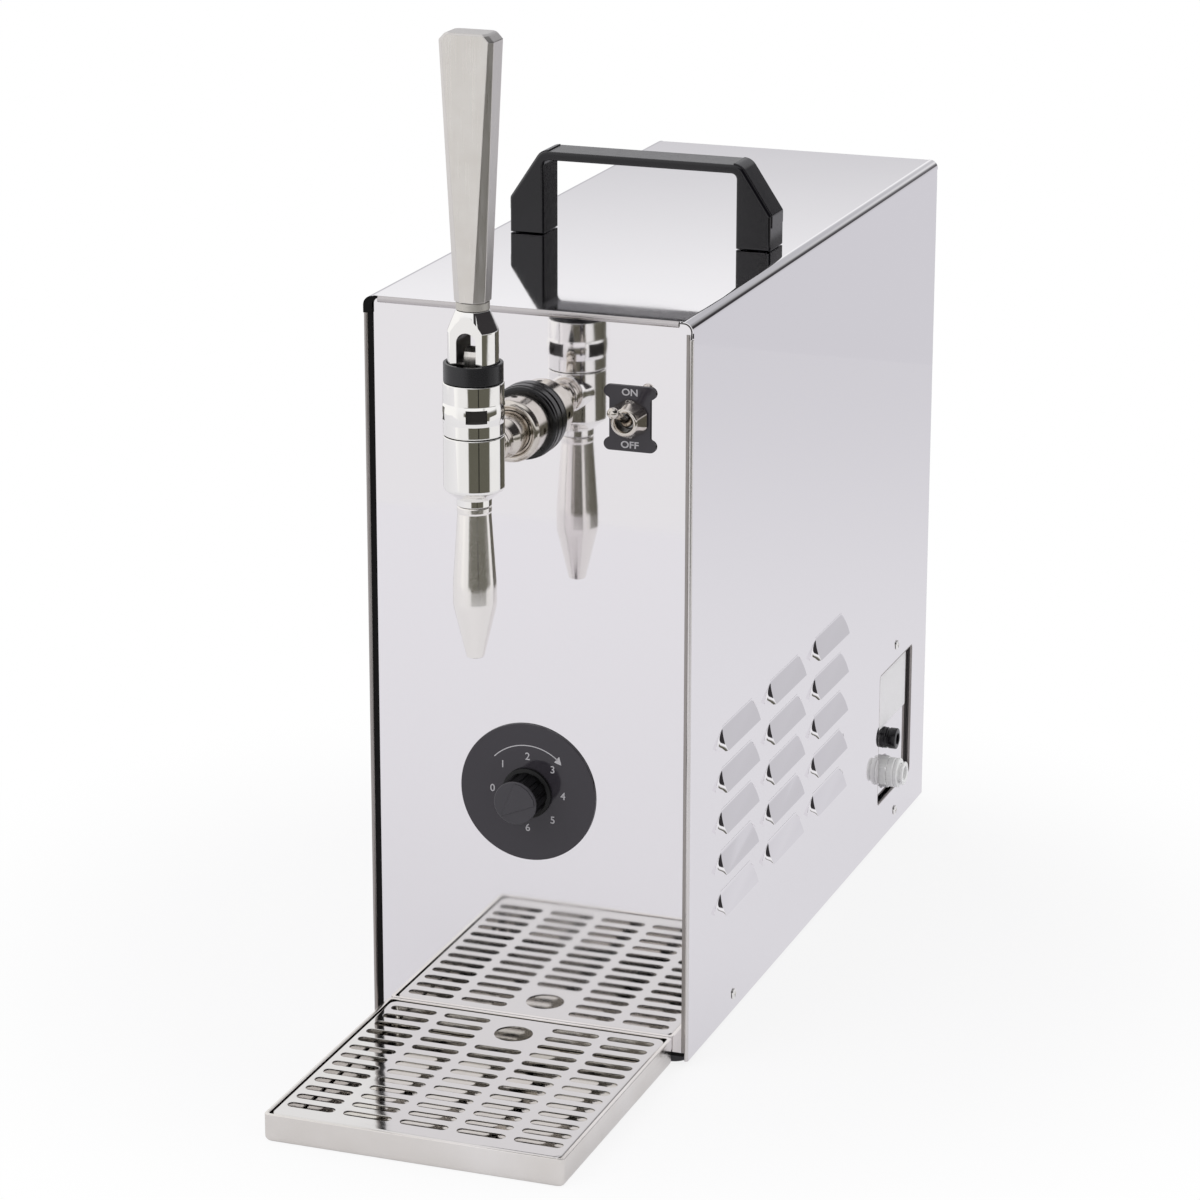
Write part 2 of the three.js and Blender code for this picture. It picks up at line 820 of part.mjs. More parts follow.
function capSpace() {
  const reach = handleHalf + 2 * over;
  const start = handleTopHalf - capTopReach - gap;
  const depths = [handleFrontY - over, handleRear + over];
  const ends = [capBottom - gap, handleHeight + 2 * over];
  const sides = join([block([start, reach], depths, ends), block([-reach, -start], depths, ends)]);
  return shoulderShell(gap).intersect(sides);
}

function handleCap(side) {
  const start = handleTopHalf - capTopReach;
  const range = side > 0 ? [start, handleHalf + over] : [-handleHalf - over, -start];
  const depths = [handleFrontY - over, handleRear + over];
  return shoulderShell(0)
    .intersect(block(range, depths, [capBottom, handleHeight + over]))
    .translate([0, 0, handleBase]);
}

function handleBolt(side) {
  const underside = caseTop - sheet - gap;
  return turned([
    [0, underside - boltHeadHeight],
    [boltHeadRadius, underside - boltHeadHeight],
    [boltHeadRadius, underside],
    [boltRadius, underside],
    [boltRadius, handleBase + boltLength],
    [0, handleBase + boltLength],
  ], coarse).translate([side * boltX, handleFrontY + handleDepth / 2, 0]);
}

// Drip tray: a bent pan, its edges rounded at the bottom, and a slotted grid with turned-down edges
const trayMiddle = panelFace - gap - trayLength / 2; // pushed in against the front panel

function roundedSection(width, length, radius, z) {
  const points = roundedRectangle(width, length, radius).extractPoints(2).shape;
  return points.map((p) => [p.x, p.y + trayMiddle, z]);
}

function panSolid(margin, floor, top) {
  const lift = trayBend * (1 - Math.SQRT1_2);
  const corner = trayCorner - margin;
  const levels = [[trayBend, 0], [lift, lift], [0, trayBend]];
  const rings = levels.map(([inward, up]) => roundedSection(
    trayWidth - 2 * (margin + inward),
    trayLength - 2 * (margin + inward),
    corner,
    floor + up,
  ));
  rings.push(roundedSection(trayWidth - 2 * margin, trayLength - 2 * margin, corner, top));
  return hull(rings.flat());
}

function dripTray() {
  return panSolid(0, 0, trayHeight).subtract(panSolid(traySheet, traySheet, trayHeight + over));
}

function slotShape(x, y) {
  const points = [];
  const radius = slotWidth / 2;
  const reach = slotLength / 2 - radius;
  for (const side of [1, -1]) {
    for (let i = 0; i <= slotSteps; i += 1) {
      const angle = (i / slotSteps - 0.5) * Math.PI;
      points.push([x + side * (reach + radius * Math.cos(angle)), y + side * radius * Math.sin(angle)]);
    }
  }
  return outline(points);
}

function dripGrid() {
  const margin = traySheet + gridMargin;
  const width = trayWidth - 2 * margin;
  const length = trayLength - 2 * margin;
  const top = trayHeight - gridSunk;
  const low = traySheet + trayBend * (1 - Math.SQRT1_2) + gap; // the skirt rests on the tray's bend
  const plate = flat(roundedRectangle(width, length, gridCorner), low, top);
  const inside = flat(
    roundedRectangle(width - 2 * traySheet, length - 2 * traySheet, gridCorner - traySheet),
    low - over,
    top - traySheet,
  );
  const skirted = plate.subtract(inside).translate([0, trayMiddle, 0]);
  const cuts = [];
  const middle = (slotColumns - 1) / 2;
  for (let column = 0; column < slotColumns; column += 1) {
    for (let row = column === middle ? fingerHoleRows : 0; row < slotRows; row += 1) {
      const shape = slotShape((column - middle) * slotPitchX, -slotFirstY - row * slotPitchY);
      cuts.push(flat(shape, top - traySheet - over, top + over));
    }
  }
  const holeY = -slotFirstY - (fingerHoleRows - 1) / 2 * slotPitchY;
  cuts.push(disc(fingerHoleRadius, top - traySheet - over, top + over).translate([0, holeY, 0]));
  return skirted.subtract(join(cuts));
}

// Tap, fixed pieces. Those along the tap's axis are turned about it and then moved in front of the case
function onTapAxis(piece) {
  return piece.translate([0, -tapReach, 0]);
}

// A piece turned about the shank's axis; profile heights are distances in front of the case
function onShank(profile, facets) {
  return turned(profile, facets).rotate([90, 0, 0]).translate([0, 0, shankHeight]);
}

function tapShank() {
  const tail = -(panelFace + shankTail);
  const neckStart = tapReach - socketReach - gap;
  return onShank([
    [shankBore, tail],
    [shankBarrelRadius, tail],
    [shankBarrelRadius, shankNeckEnd - shankTaper],
    [shankNeckRadius, shankNeckEnd],
    [shankNeckRadius, neckStart],
    [shankBore, neckStart],
    [shankBore, tail],
  ], medium);
}

function rubberRing() {
  const back = gap - panelFace;
  const front = back + ringThickness;
  const bore = shankBarrelRadius + gap;
  return onShank([
    [bore, back],
    [ringRadius, back],
    [ringRadius, front - ringEdge],
    [ringRadius - ringEdge, front],
    [bore, front],
    [bore, back],
  ], fine);
}

function couplingNut() {
  const front = nutBack + nutLength;
  const bore = shankBarrelRadius + gap;
  const nut = onShank([
    [bore, nutBack],
    [nutRadius, nutBack],
    [nutRadius, front - nutChamfer],
    [nutRadius - nutChamfer, front],
    [bore, front],
    [bore, nutBack],
  ], fine);
  const middle = (nutBack + front) / 2;
  const hole = disc(spannerHoleRadius, nutRadius - spannerHoleDepth, nutRadius + over, coarse);
  return nut.subtract(alongX(hole, 0, -middle, shankHeight));
}

function shankLocknut() {
  const front = panelBack + gap;
  const back = front + locknutThickness;
  const bore = alongY(disc(shankBarrelRadius + gap, front - over, back + over), 0, 0, 0);
  return upright(hexagon(locknutFlats), front, back).subtract(bore).translate([0, 0, shankHeight]);
}

function tapBody() {
  const shell = onTapAxis(turned([
    [outletRadius, neckBottom],
    [neckRadius, neckBottom],
    [neckRadius, coneBottom],
    [bodyRadius, coneTop],
    [bodyRadius, bodyTop],
    [bodyBore, bodyTop],
    [bodyBore, seatZ],
    [outletRadius, seatZ],
    [outletRadius, neckBottom],
  ], fine));
  const middle = (bodyBore + bodyRadius) / 2;
  const socket = onShank([
    [0, tapReach - socketReach],
    [socketRadius, tapReach - socketReach],
    [socketRadius, tapReach - middle],
    [0, tapReach - middle],
  ], medium);
  const bore = onShank([
    [0, tapReach - socketReach - over],
    [shankBore, tapReach - socketReach - over],
    [shankBore, tapReach],
    [0, tapReach],
  ], coarse);
  return shell.add(socket).subtract(bore);
}

function tapBonnet() {
  const bore = valveRadius + gap;
  const bandLow = bonnetZ + bonnetBandStart;
  const bandHigh = bandLow + bonnetBandHeight;
  const band = bodyRadius + bonnetBandRaise;
  const top = bonnetZ + bonnetHeight;
  const bonnet = turned([
    [bore, bonnetZ],
    [bodyRadius, bonnetZ],
    [bodyRadius, bandLow - bonnetBandRaise],
    [band, bandLow],
    [band, bandHigh],
    [bodyRadius, bandHigh + bonnetBandRaise],
    [bodyRadius, top],
    [bore, top],
    [bore, bonnetZ],
  ], fine);
  const notches = [];
  const notchLow = bandHigh - notchHeight;
  for (let i = 0; i < notchCount; i += 1) {
    notches.push(block(
      [-notchWidth / 2, notchWidth / 2],
      [-band - over, notchDepth - band],
      [notchLow, bandHigh],
    ).rotate([0, 0, notchTurn + i * 360 / notchCount]));
  }
  return onTapAxis(bonnet.subtract(join(notches)));
}

function leverCollar() {
  const inner = collarRadius - collarWall;
  const bore = valveRadius + gap;
  return onTapAxis(turned([
    [bore, collarZ],
    [collarRadius, collarZ],
    [collarRadius, collarTop],
    [inner, collarTop],
    [inner, collarZ + collarFloor],
    [bore, collarZ + collarFloor],
    [bore, collarZ],
  ], fine));
}

// Tap, moving pieces: the lever turns on the pin, which crosses the blade of the valve shaft
function leverYoke() {
  const low = pinZ - yokeBelowPin;
  const yoke = turned([
    [0, low],
    [yokeRadius - yokeLowChamfer / 2, low],
    [yokeRadius, low + yokeLowChamfer],
    [yokeRadius, pinZ + yokeShoulder],
    [yokeTopRadius, pinZ + yokeTop],
    [studRadius, pinZ + yokeTop],
    [studRadius, pinZ + yokeTop + studLength],
    [0, pinZ + yokeTop + studLength],
  ], fine);
  const wide = yokeRadius + over;
  const flats = [[-wide, -yokeFlat], [yokeFlat, wide]].map((range) => block(
    [-wide, wide],
    range,
    [low - over, pinZ + yokeTop + over],
  ));
  const arch = new THREE.Shape();
  const spring = pinZ + yokeShoulder - forkSlot / 2;
  arch.moveTo(-forkSlot / 2, low - over);
  arch.lineTo(forkSlot / 2, low - over);
  arch.absarc(0, spring, forkSlot / 2, 0, Math.PI);
  const slot = upright(arch, -wide, wide, 5);
  const pinHole = alongX(disc(pinRadius + gap, -wide, wide, coarse), 0, 0, pinZ);
  return onTapAxis(yoke.subtract(join([...flats, slot, pinHole])));
}

function leverPin() {
  const reach = yokeRadius - gap;
  return onTapAxis(alongX(disc(pinRadius, -reach, reach, coarse), 0, 0, pinZ));
}

function leverFerrule() {
  const bore = studRadius + gap;
  return onTapAxis(turned([
    [bore, ferruleZ],
    [ferruleRadius, ferruleZ],
    [ferruleRadius, ferruleZ + ferruleHeight],
    [bore, ferruleZ + ferruleHeight],
    [bore, ferruleZ],
  ], fine));
}

function paddleSection(width, depth, edge, z) {
  const x = width / 2;
  const y = depth / 2;
  const corners = [[x - edge, y], [x, y - edge], [x, edge - y], [x - edge, -y]];
  return corners.flatMap(([a, b]) => [[a, b, z], [-a, b, z]]);
}

function tapHandle() {
  const top = paddleZ + paddleLength;
  const cropped = paddleTopWidth - 2 * paddleCorner;
  const paddle = hull([
    ...paddleSection(paddleBaseWidth, paddleBaseDepth, paddleBaseEdge, paddleZ),
    ...paddleSection(paddleTopWidth, paddleTopDepth, paddleTopEdge, top - paddleCorner),
    ...paddleSection(cropped, paddleTopDepth, paddleCrown, top - paddleCrown),
    ...paddleSection(cropped - paddleCrown, paddleTopDepth - 2 * paddleCrown, paddleCrown, top),
  ]);
  const boreTop = pinZ + yokeTop + studLength + gap;
  return onTapAxis(paddle.subtract(disc(studRadius + gap, paddleZ - over, boreTop)));
}

function valveShaft() {
  const low = seatZ + gap;
  const rodTop = pinZ - valveBladeDepth / 2;
  const rod = turned([
    [0, low],
    [valveTipRadius, low],
    [valveTipRadius, low + sealThickness + gap],
    [valveRadius, low + sealThickness + gap],
    [valveRadius, rodTop],
    [0, rodTop],
  ], coarse);
  const round = valveBladeDepth / 2;
  const blade = new THREE.Shape();
  blade.moveTo(-round, rodTop - over);
  blade.lineTo(round, rodTop - over);
  blade.absarc(0, pinZ + valveAbovePin - round, round, 0, Math.PI);
  const plate = upright(blade, -valveBlade / 2, valveBlade / 2, 3).rotate([0, 0, 90]);
  const bar = rod.add(plate);
  return onTapAxis(bar.subtract(alongX(disc(pinRadius + gap, -yokeRadius, yokeRadius, coarse), 0, 0, pinZ)));
}

function valveSeal() {
  const low = seatZ + gap;
  const bore = valveTipRadius + gap;
  return onTapAxis(turned([
    [bore, low],
    [sealRadius, low],
    [sealRadius, low + sealThickness],
    [bore, low + sealThickness],
    [bore, low],
  ], medium));
}

// Spout: widens downwards, then closes to a small tip, with a restrictor disc on a step in its bore
const spoutTip = spoutTop - spoutUpper - spoutMiddle - spoutLower;

function spoutNozzle() {
  return onTapAxis(turned([
    [spoutTipBore, spoutTip],
    [spoutTipRadius, spoutTip],
    [spoutWideRadius, spoutTip + spoutLower],
    [spoutWideRadius, spoutTip + spoutLower + spoutMiddle],
    [spoutTopRadius, spoutTop],
    [spoutTopBore, spoutTop],
    [spoutTopBore, spoutTop - spoutBoreDepth],
    [spoutTipBore, spoutTop - spoutBoreDepth],
    [spoutTipBore, spoutTip],
  ], fine));
}

function restrictorDisc() {
  const low = spoutTop - spoutBoreDepth + gap;
  const holes = [];
  for (let i = 0; i < discHoles; i += 1) {
    const angle = i * 2 * Math.PI / discHoles;
    const hole = disc(discHoleRadius, low - over, low + discThickness + over, 8);
    holes.push(hole.translate([discHoleCircle * Math.cos(angle), discHoleCircle * Math.sin(angle), 0]));
  }
  return onTapAxis(disc(discRadius, low, low + discThickness).subtract(join(holes)));
}

// Cooler control: dial, ribbed knob and the thermostat behind the panel
const dialFront = panelFace - gap - dialThickness;
const knobBack = dialFront - gap;

function dialPlate() {
  return alongY(turned([
    [bushRadius + gap, 0],
    [dialRadius, 0],
    [dialRadius, dialThickness],
    [bushRadius + gap, dialThickness],
    [bushRadius + gap, 0],
  ], 2 * medium), 0, dialFront, dialHeight);
}

function thermostatKnob() {
  const ribbed = [];
  for (let i = 0; i < 4 * knobRibs; i += 1) {
    const angle = (i + 0.5) * 2 * Math.PI / (4 * knobRibs);
    const radius = i % 4 < 2 ? knobRadius : knobRadius - knobRibDepth;
    ribbed.push([radius * Math.cos(angle), radius * Math.sin(angle)]);
  }
  const faceY = knobBack - knobLength;
  const angle = knobRestAngle * Math.PI / 180;
  const along = [Math.cos(angle), Math.sin(angle)];
  const across = [-along[1], along[0]];
  const tip = knobRadius - knobRibDepth - pointerInset;
  const spread = pointerWidth / 2;
  const heel = Math.sqrt(tip * tip - spread * spread);
  const raised = faceY - pointerRaise;
  const pointer = hull([
    [along[0] * tip, faceY, along[1] * tip],
    [across[0] * spread - along[0] * heel, faceY, across[1] * spread - along[1] * heel],
    [-across[0] * spread - along[0] * heel, faceY, -across[1] * spread - along[1] * heel],
    [along[0] * (tip - pointerInset), raised, along[1] * (tip - pointerInset)],
    [-along[0] * heel, raised, -along[1] * heel],
    [along[0] * tip, faceY + over, along[1] * tip],
    [-along[0] * heel, faceY + over, -along[1] * heel],
  ]);
  const knob = join([
    upright(outline(ribbed), faceY, knobBack),
    alongY(disc(knobFlangeRadius, -knobFlange, 0, fine), 0, knobBack, 0),
    pointer,
  ]);
  const bore = alongY(disc(stemRadius + gap, -knobBoreDepth, over, coarse), 0, knobBack, 0);
  return knob.subtract(bore).translate([0, 0, dialHeight]);
}

function thermostatBody() {
  const front = panelBack + gap;
  const bushFront = dialFront + gap;
  const stemFront = knobBack - knobBoreDepth + gap;
  return join([
    block(
      [-thermostatWidth / 2, thermostatWidth / 2],
      [front, front + thermostatDepth],
      [dialHeight - thermostatHeight / 2, dialHeight + thermostatHeight / 2],
    ),
    alongY(disc(bushRadius, bushFront, front + over, coarse), 0, 0, dialHeight),
    alongY(disc(stemRadius, stemFront, front + over, coarse), 0, 0, dialHeight),
  ]);
}

// Gas control: plate, conical nut, toggle lever, and the valve behind the panel
function switchPlate() {
  const x = togglePlateWidth / 2;
  const z = togglePlateHeight / 2;
  const ear = togglePlateEar / 2;
  const back = panelFace - gap;
  const front = back - togglePlateThickness;
  const bars = [-1, 1].map((side) => {
    const shape = new THREE.Shape();
    const level = side * (z - ear);
    shape.absarc(x - ear, level, ear, -Math.PI / 2, Math.PI / 2);
    shape.absarc(ear - x, level, ear, Math.PI / 2, 1.5 * Math.PI);
    return upright(shape, front, back);
  });
  const waist = block([-togglePlateWaist / 2, togglePlateWaist / 2], [front, back], [ear - z, z - ear]);
  const hole = alongY(disc(gasBushRadius + gap, front - over, back + over, coarse), 0, 0, 0);
  return join([...bars, waist]).subtract(hole).translate([toggleX, 0, toggleHeight]);
}

function toggleNut() {
  const back = panelFace - gap - togglePlateThickness - gap;
  const cone = turned([
    [toggleBore, 0],
    [toggleNutBase, 0],
    [toggleNutMouth, toggleNutLength],
    [toggleBore, toggleNutLength],
    [toggleBore, 0],
  ], fine).rotate([90, 0, 0]).translate([0, back, 0]);
  const prism = upright(hexagon(toggleNutFlats), back - toggleNutLength, back);
  return cone.intersect(prism).translate([toggleX, 0, toggleHeight]);
}

function toggleLever() {
  const ball = [];
  const arcSteps = 5;
  const cut = Math.asin(toggleStemRadius / toggleBallRadius);
  for (let i = 0; i <= arcSteps; i += 1) {
    const angle = Math.PI - i * (Math.PI - cut) / arcSteps;
    ball.push([toggleBallRadius * Math.sin(angle), toggleBallRadius * Math.cos(angle)]);
  }
  const tip = [];
  for (let i = 0; i <= arcSteps; i += 1) {
    const angle = (arcSteps - i) * (0.75 * Math.PI) / arcSteps;
    tip.push([toggleTipRadius * Math.sin(angle), toggleLength + toggleTipRadius * Math.cos(angle)]);
  }
  return turned([...ball, ...tip], coarse)
    .rotate([90 - toggleRestAngle, 0, 0])
    .translate([toggleX, togglePivotY, toggleHeight]);
}

function gasValveBody() {
  const front = panelBack + gap;
  const bushFront = togglePivotY + toggleBallRadius + gap;
  const portY = front + gasValveLength / 2;
  return join([
    alongY(disc(gasValveRadius, front, front + gasValveLength), 0, 0, 0),
    alongY(disc(gasBushRadius, bushFront, front + over, coarse), 0, 0, 0),
    disc(gasPortRadius, 0, gasValveRadius + gasPortLength, coarse).translate([0, portY, 0]),
  ]).translate([toggleX, 0, toggleHeight]);
}

// Cooling block and insulation on the shelf, in the upper chamber
const foamRear = foamFront + foamLength;
const blockTop = foamTop - foamWall - gap;
const blockFront = foamFront + foamWall + gap;
const blockRear = foamRear - foamWall - gap;
const blockHalf = foamWidth / 2 - foamWall - gap;

function coolingBlock() {
  return block([-blockHalf, blockHalf], [blockFront, blockRear], [shelfZ + foamWall + gap, blockTop]);
}

function blockInsulation() {
  const shell = block([-foamWidth / 2, foamWidth / 2], [foamFront, foamRear], [shelfZ, foamTop]);
  const cavity = block(
    [-blockHalf - gap, blockHalf + gap],
    [blockFront - gap, blockRear + gap],
    [shelfZ + foamWall, blockTop + gap],
  );
  const hole = disc(beverageLineRadius + lineHoleGap, foamFront - over, blockFront + over, coarse);
  const rearHole = disc(beverageLineRadius + lineHoleGap, blockRear - over, foamRear + over, coarse);
  return shell.subtract(join([
    cavity,
    alongY(hole, 0, 0, shankHeight),
    alongY(rearHole, beverageRiseX, 0, lineInHeight),
  ]));
}

// Lines inside the case
const beverageRiseX = 52;
const gasRiseX = 65;
const lineBend = 12;
const gasTopZ = caseTop - gasLineBelowTop;

function beverageLineIn() {
  return tube([
    [connectionX - inletTail - gap, inletY, beverageInletZ],
    [beverageRiseX, inletY, beverageInletZ],
    [beverageRiseX, inletY, lineInHeight],
    [beverageRiseX, blockRear + gap, lineInHeight],
  ], beverageLineRadius, lineBend);
}

function beverageLineOut() {
  const start = panelFace + shankTail + gap;
  return alongY(disc(beverageLineRadius, start, blockFront - gap, coarse), 0, 0, shankHeight);
}

function gasLine() {
  const portY = panelBack + gap + gasValveLength / 2;
  const portZ = toggleHeight + gasValveRadius + gasPortLength + gap;
  return tube([
    [connectionX - gasInletTail - gap, inletY, gasInletZ],
    [gasRiseX, inletY, gasInletZ],
    [gasRiseX, inletY, gasTopZ],
    [toggleX, portY, gasTopZ],
    [toggleX, portY, portZ],
  ], gasLineRadius, lineBend / 2);
}

function refrigerantLine() {
  const top = floorZ + compressorFoot + compressorHeight;
  const end = fanFrameX + fanFrameDepth + gap + condenserDepth / 2;
  const level = floorZ + condenserHeight - 4 * portRadius;
  return tube([
    [compressorX + portOffset, compressorY, top + portLength + gap],
    [compressorX + portOffset, compressorY, top + 2 * portLength + lineBend],
    [end, compressorY - compressorHalfDepth, top + 2 * portLength + lineBend],
    [end, compressorY - compressorHalfDepth - lineBend, level],
    [end, fanY + condenserLength / 2 + gap, level],
  ], refrigerantLineRadius, lineBend / 2);
}

// Fittings on the connection plate, their axes along X
function inletFitting(radius, reach, hexFlats, tailRadius, tail, bore, pocket) {
  const turnedPart = turned([
    [bore, -tail],
    [tailRadius, -tail],
    [tailRadius, gap],
    [radius, gap],
    [radius, reach],
    [pocket[0], reach],
    [pocket[0], reach - pocket[1]],
    [bore, reach - pocket[1]],
    [bore, -tail],
  ], medium);
  const hex = flat(hexagon(hexFlats), gap, gap + hexLength)
    .subtract(disc((radius + bore) / 2, 0, 2 * hexLength));
  return turnedPart.add(hex);
}

function beverageInlet() {
  const pocket = [colletRadius + gap, colletDepth + colletTravel + gap];
  const fitting = inletFitting(
    inletRadius, inletReach, 2 * inletRadius, inletTailRadius, inletTail, inletBore, pocket,
  );
  return alongX(fitting, connectionX, inletY, beverageInletZ);
}

function inletCollet() {
  const mouth = inletReach + colletTravel + gap;
  const collet = turned([
    [colletBore, inletReach - colletDepth],
    [colletRadius, inletReach - colletDepth],
    [colletRadius, mouth],
    [colletHeadRadius, mouth],
    [colletHeadRadius, mouth + colletHead],
    [colletBore, mouth + colletHead],
    [colletBore, inletReach - colletDepth],
  ], medium);
  return alongX(collet, connectionX, inletY, beverageInletZ);
}

function gasInlet() {
  const pocket = [gasSocketRadius, gasSocketDepth];
  const fitting = inletFitting(
    gasInletRadius, gasInletReach, 2 * gasInletRadius, gasInletTailRadius, gasInletTail, gasInletBore, pocket,
  );
  return alongX(fitting, connectionX, inletY, gasInletZ);
}

// Refrigeration: compressor at the rear, condenser and fan beside the louvres
function compressor() {
  const shoulder = compressorHeight * 0.25;
  const can = turned([
    [0, 0],
    [0.86, 0],
    [1, shoulder],
    [1, compressorHeight - shoulder],
    [0.9, compressorHeight - shoulder / 2],
    [0.6, compressorHeight],
    [0, compressorHeight],
  ], medium).scale([compressorHalfWidth, compressorHalfDepth, 1]);
  const foot = block(
    [-compressorFootWidth / 2, compressorFootWidth / 2],
    [-compressorFootDepth / 2, compressorFootDepth / 2],
    [-compressorFoot, compressorFoot],
  );
  const port = disc(portRadius, compressorHeight - shoulder, compressorHeight + portLength, coarse)
    .translate([portOffset, 0, 0]);
  return join([can, foot, port]).translate([compressorX, compressorY, floorZ + compressorFoot]);
}

const fanAxisZ = floorZ + fanFrameSize / 2;

function onFanAxis(piece) {
  return alongX(piece, fanFrameX, fanY, fanAxisZ);
}

function fanShroud() {
  const size = fanFrameSize / 2;
  const frame = block([-size, size], [-size, size], [0, fanFrameDepth])
    .subtract(disc(fanHoleRadius, -over, fanFrameDepth + over, fine));
  const struts = [0, 60, 120].map((turn) => block(
    [-fanHoleRadius - over, fanHoleRadius + over],
    [-fanStrutWidth / 2, fanStrutWidth / 2],
    [0, fanPlate],
  ).rotate([0, 0, turn]));
  return onFanAxis(join([frame, ...struts, disc(fanBossRadius, 0, fanPlate)])
    .subtract(disc(fanShaftRadius + gap, -over, fanPlate + over, coarse)));
}

const hubStart = fanPlate + 2 * gap;

function fanMotor() {
  const shaftEnd = hubStart + fanHubLength - 2 * gap;
  return onFanAxis(turned([
    [0, -gap - fanMotorLength],
    [fanMotorRadius, -gap - fanMotorLength],
    [fanMotorRadius, -gap],
    [fanShaftRadius, -gap],
    [fanShaftRadius, shaftEnd],
    [0, shaftEnd],
  ], medium));
}

function fanBlade() {
  const hub = disc(fanHubRadius, hubStart, hubStart + fanHubLength);
  const middle = hubStart + fanHubLength / 2;
  const blades = [];
  for (let i = 0; i < fanBlades; i += 1) {
    blades.push(block(
      [fanHubRadius - 2 * over, fanBladeReach],
      [-fanBladeWidth / 2, fanBladeWidth / 2],
      [-fanBladeThickness / 2, fanBladeThickness / 2],
    ).rotate([fanBladePitch, 0, 0]).translate([0, 0, middle]).rotate([0, 0, i * 360 / fanBlades]));
  }
  const bore = disc(fanShaftRadius + gap, hubStart - over, hubStart + fanHubLength - gap, coarse);
  return onFanAxis(join([hub, ...blades]).subtract(bore));
}

function condenser() {
  const x = fanFrameX + fanFrameDepth + gap;
  const y = fanY - condenserLength / 2;
  const core = block([x, x + condenserDepth], [y, y + condenserLength], [floorZ, floorZ + condenserHeight]);
  const grooves = [];
  const count = Math.floor(condenserLength / finPitch);
  for (let i = 0; i < count; i += 1) {
    const start = y + (condenserLength - count * finPitch + finPitch - finGroove) / 2 + i * finPitch;
    grooves.push(block(
      [x + condenserDepth - finGrooveDepth, x + condenserDepth + over],
      [start, start + finGroove],
      [floorZ - over, floorZ + condenserHeight + over],
    ));
  }
  return core.subtract(join(grooves));
}

function terminalBox() {
  const x = terminalWidth / 2;
  const y = terminalDepth / 2;
  const rim = terminalEdge;
  const corners = [[x, y, 0], [x, y, terminalHeight - rim], [x - rim, y - rim, terminalHeight]];
  return hull(corners.flatMap(([a, b, z]) => [[a, b, z], [-a, b, z], [a, -b, z], [-a, -b, z]]))
    .translate([terminalX, terminalY, floorZ]);
}

function powerGland() {
  const gland = turned([
    [glandBore, -glandTail],
    [glandTailRadius, -glandTail],
    [glandTailRadius, gap],
    [glandRadius, gap],
    [glandRadius, glandReach / 2],
    [glandRadius * 0.8, glandReach],
    [glandBore, glandReach],
    [glandBore, -glandTail],
  ], medium);
  return alongY(gland, glandX, rearFace, glandZ);
}

// The unit, piece by piece
place('wrap_cover', wrapCover(), mirrorSteel);
place('front_panel', frontPanel(), mirrorSteel);
place('rear_panel', rearPanel(), galvanised);
place('base_plate', basePlate(), galvanised);
place('mid_shelf', midShelf(), galvanised);
place('connection_plate', connectionPlate(), mirrorSteel);
for (const [end, y] of [['front', footEndInset], ['rear', caseDepth - footEndInset]]) {
  for (const [side, x] of [['left', footSideInset - half], ['right', half - footSideInset]]) {
    place(`foot_${end}_${side}`, foot().translate([x, y, 0]), blackRubber);
  }
}
for (const [name, [side, y, z]] of Object.entries(sideScrews)) {
  place(name, sideScrew(side, y, z), polishedSteel);
}
place('carry_handle', handleBody(), blackPlastic);
for (const [side, sign] of [['left', -1], ['right', 1]]) {
  place(`handle_cap_${side}`, handleCap(sign), blackPlastic);
  place(`handle_bolt_${side}`, handleBolt(sign), galvanised);
}
place('drip_tray', dripTray(), polishedSteel);
place('drip_grid', dripGrid(), mirrorSteel);
place('tap_shank', tapShank(), polishedSteel);
place('shank_rubber_ring', rubberRing(), blackRubber);
place('shank_coupling_nut', couplingNut(), polishedSteel);
place('shank_locknut', shankLocknut(), brushedSteel);
place('tap_body', tapBody(), polishedSteel);
place('tap_bonnet', tapBonnet(), mirrorSteel);
place('lever_collar', leverCollar(), blackPlastic);
place('lever_yoke', leverYoke(), mirrorSteel);
place('lever_pin', leverPin(), brushedSteel);
place('lever_ferrule', leverFerrule(), brushedSteel);
place('tap_handle', tapHandle(), brushedSteel);
place('valve_shaft', valveShaft(), brushedSteel);
place('valve_seal', valveSeal(), blackRubber);
place('spout_nozzle', spoutNozzle(), polishedSteel);
place('restrictor_disc', restrictorDisc(), brushedSteel);
place('dial_plate', dialPlate(), darkFace);
place('thermostat_knob', thermostatKnob(), blackPlastic);
place('thermostat_body', thermostatBody(), blackPlastic);
place('switch_plate', switchPlate(), darkFace);
place('toggle_nut', toggleNut(), polishedSteel);
place('toggle_lever', toggleLever(), polishedSteel);
place('gas_valve_body', gasValveBody(), galvanised);
place('cooling_block', coolingBlock(), castAluminium);
place('block_insulation', blockInsulation(), foam);
place('beverage_line_in', beverageLineIn(), clearTube);
place('beverage_line_out', beverageLineOut(), clearTube);
place('gas_line', gasLine(), clearTube);
place('beverage_inlet', beverageInlet(), whitePlastic);
place('inlet_collet', inletCollet(), whitePlastic);
place('gas_inlet', gasInlet(), blackPlastic);
place('compressor', compressor(), blackEnamel);
place('condenser', condenser(), castAluminium);
place('refrigerant_line', refrigerantLine(), copper);
place('fan_shroud', fanShroud(), blackPlastic);
place('fan_motor', fanMotor(), blackPlastic);
place('fan_blade', fanBlade(), blackPlastic);
place('terminal_box', terminalBox(), blackPlastic);
place('power_gland', powerGland(), blackPlastic);

// Origin: the middle of the bounding box, on the counter
const bounds = new THREE.Box3().setFromObject(unit);
unit.position.set(-(bounds.min.x + bounds.max.x) / 2, -(bounds.min.y + bounds.max.y) / 2, -bounds.min.z);

export default unit;
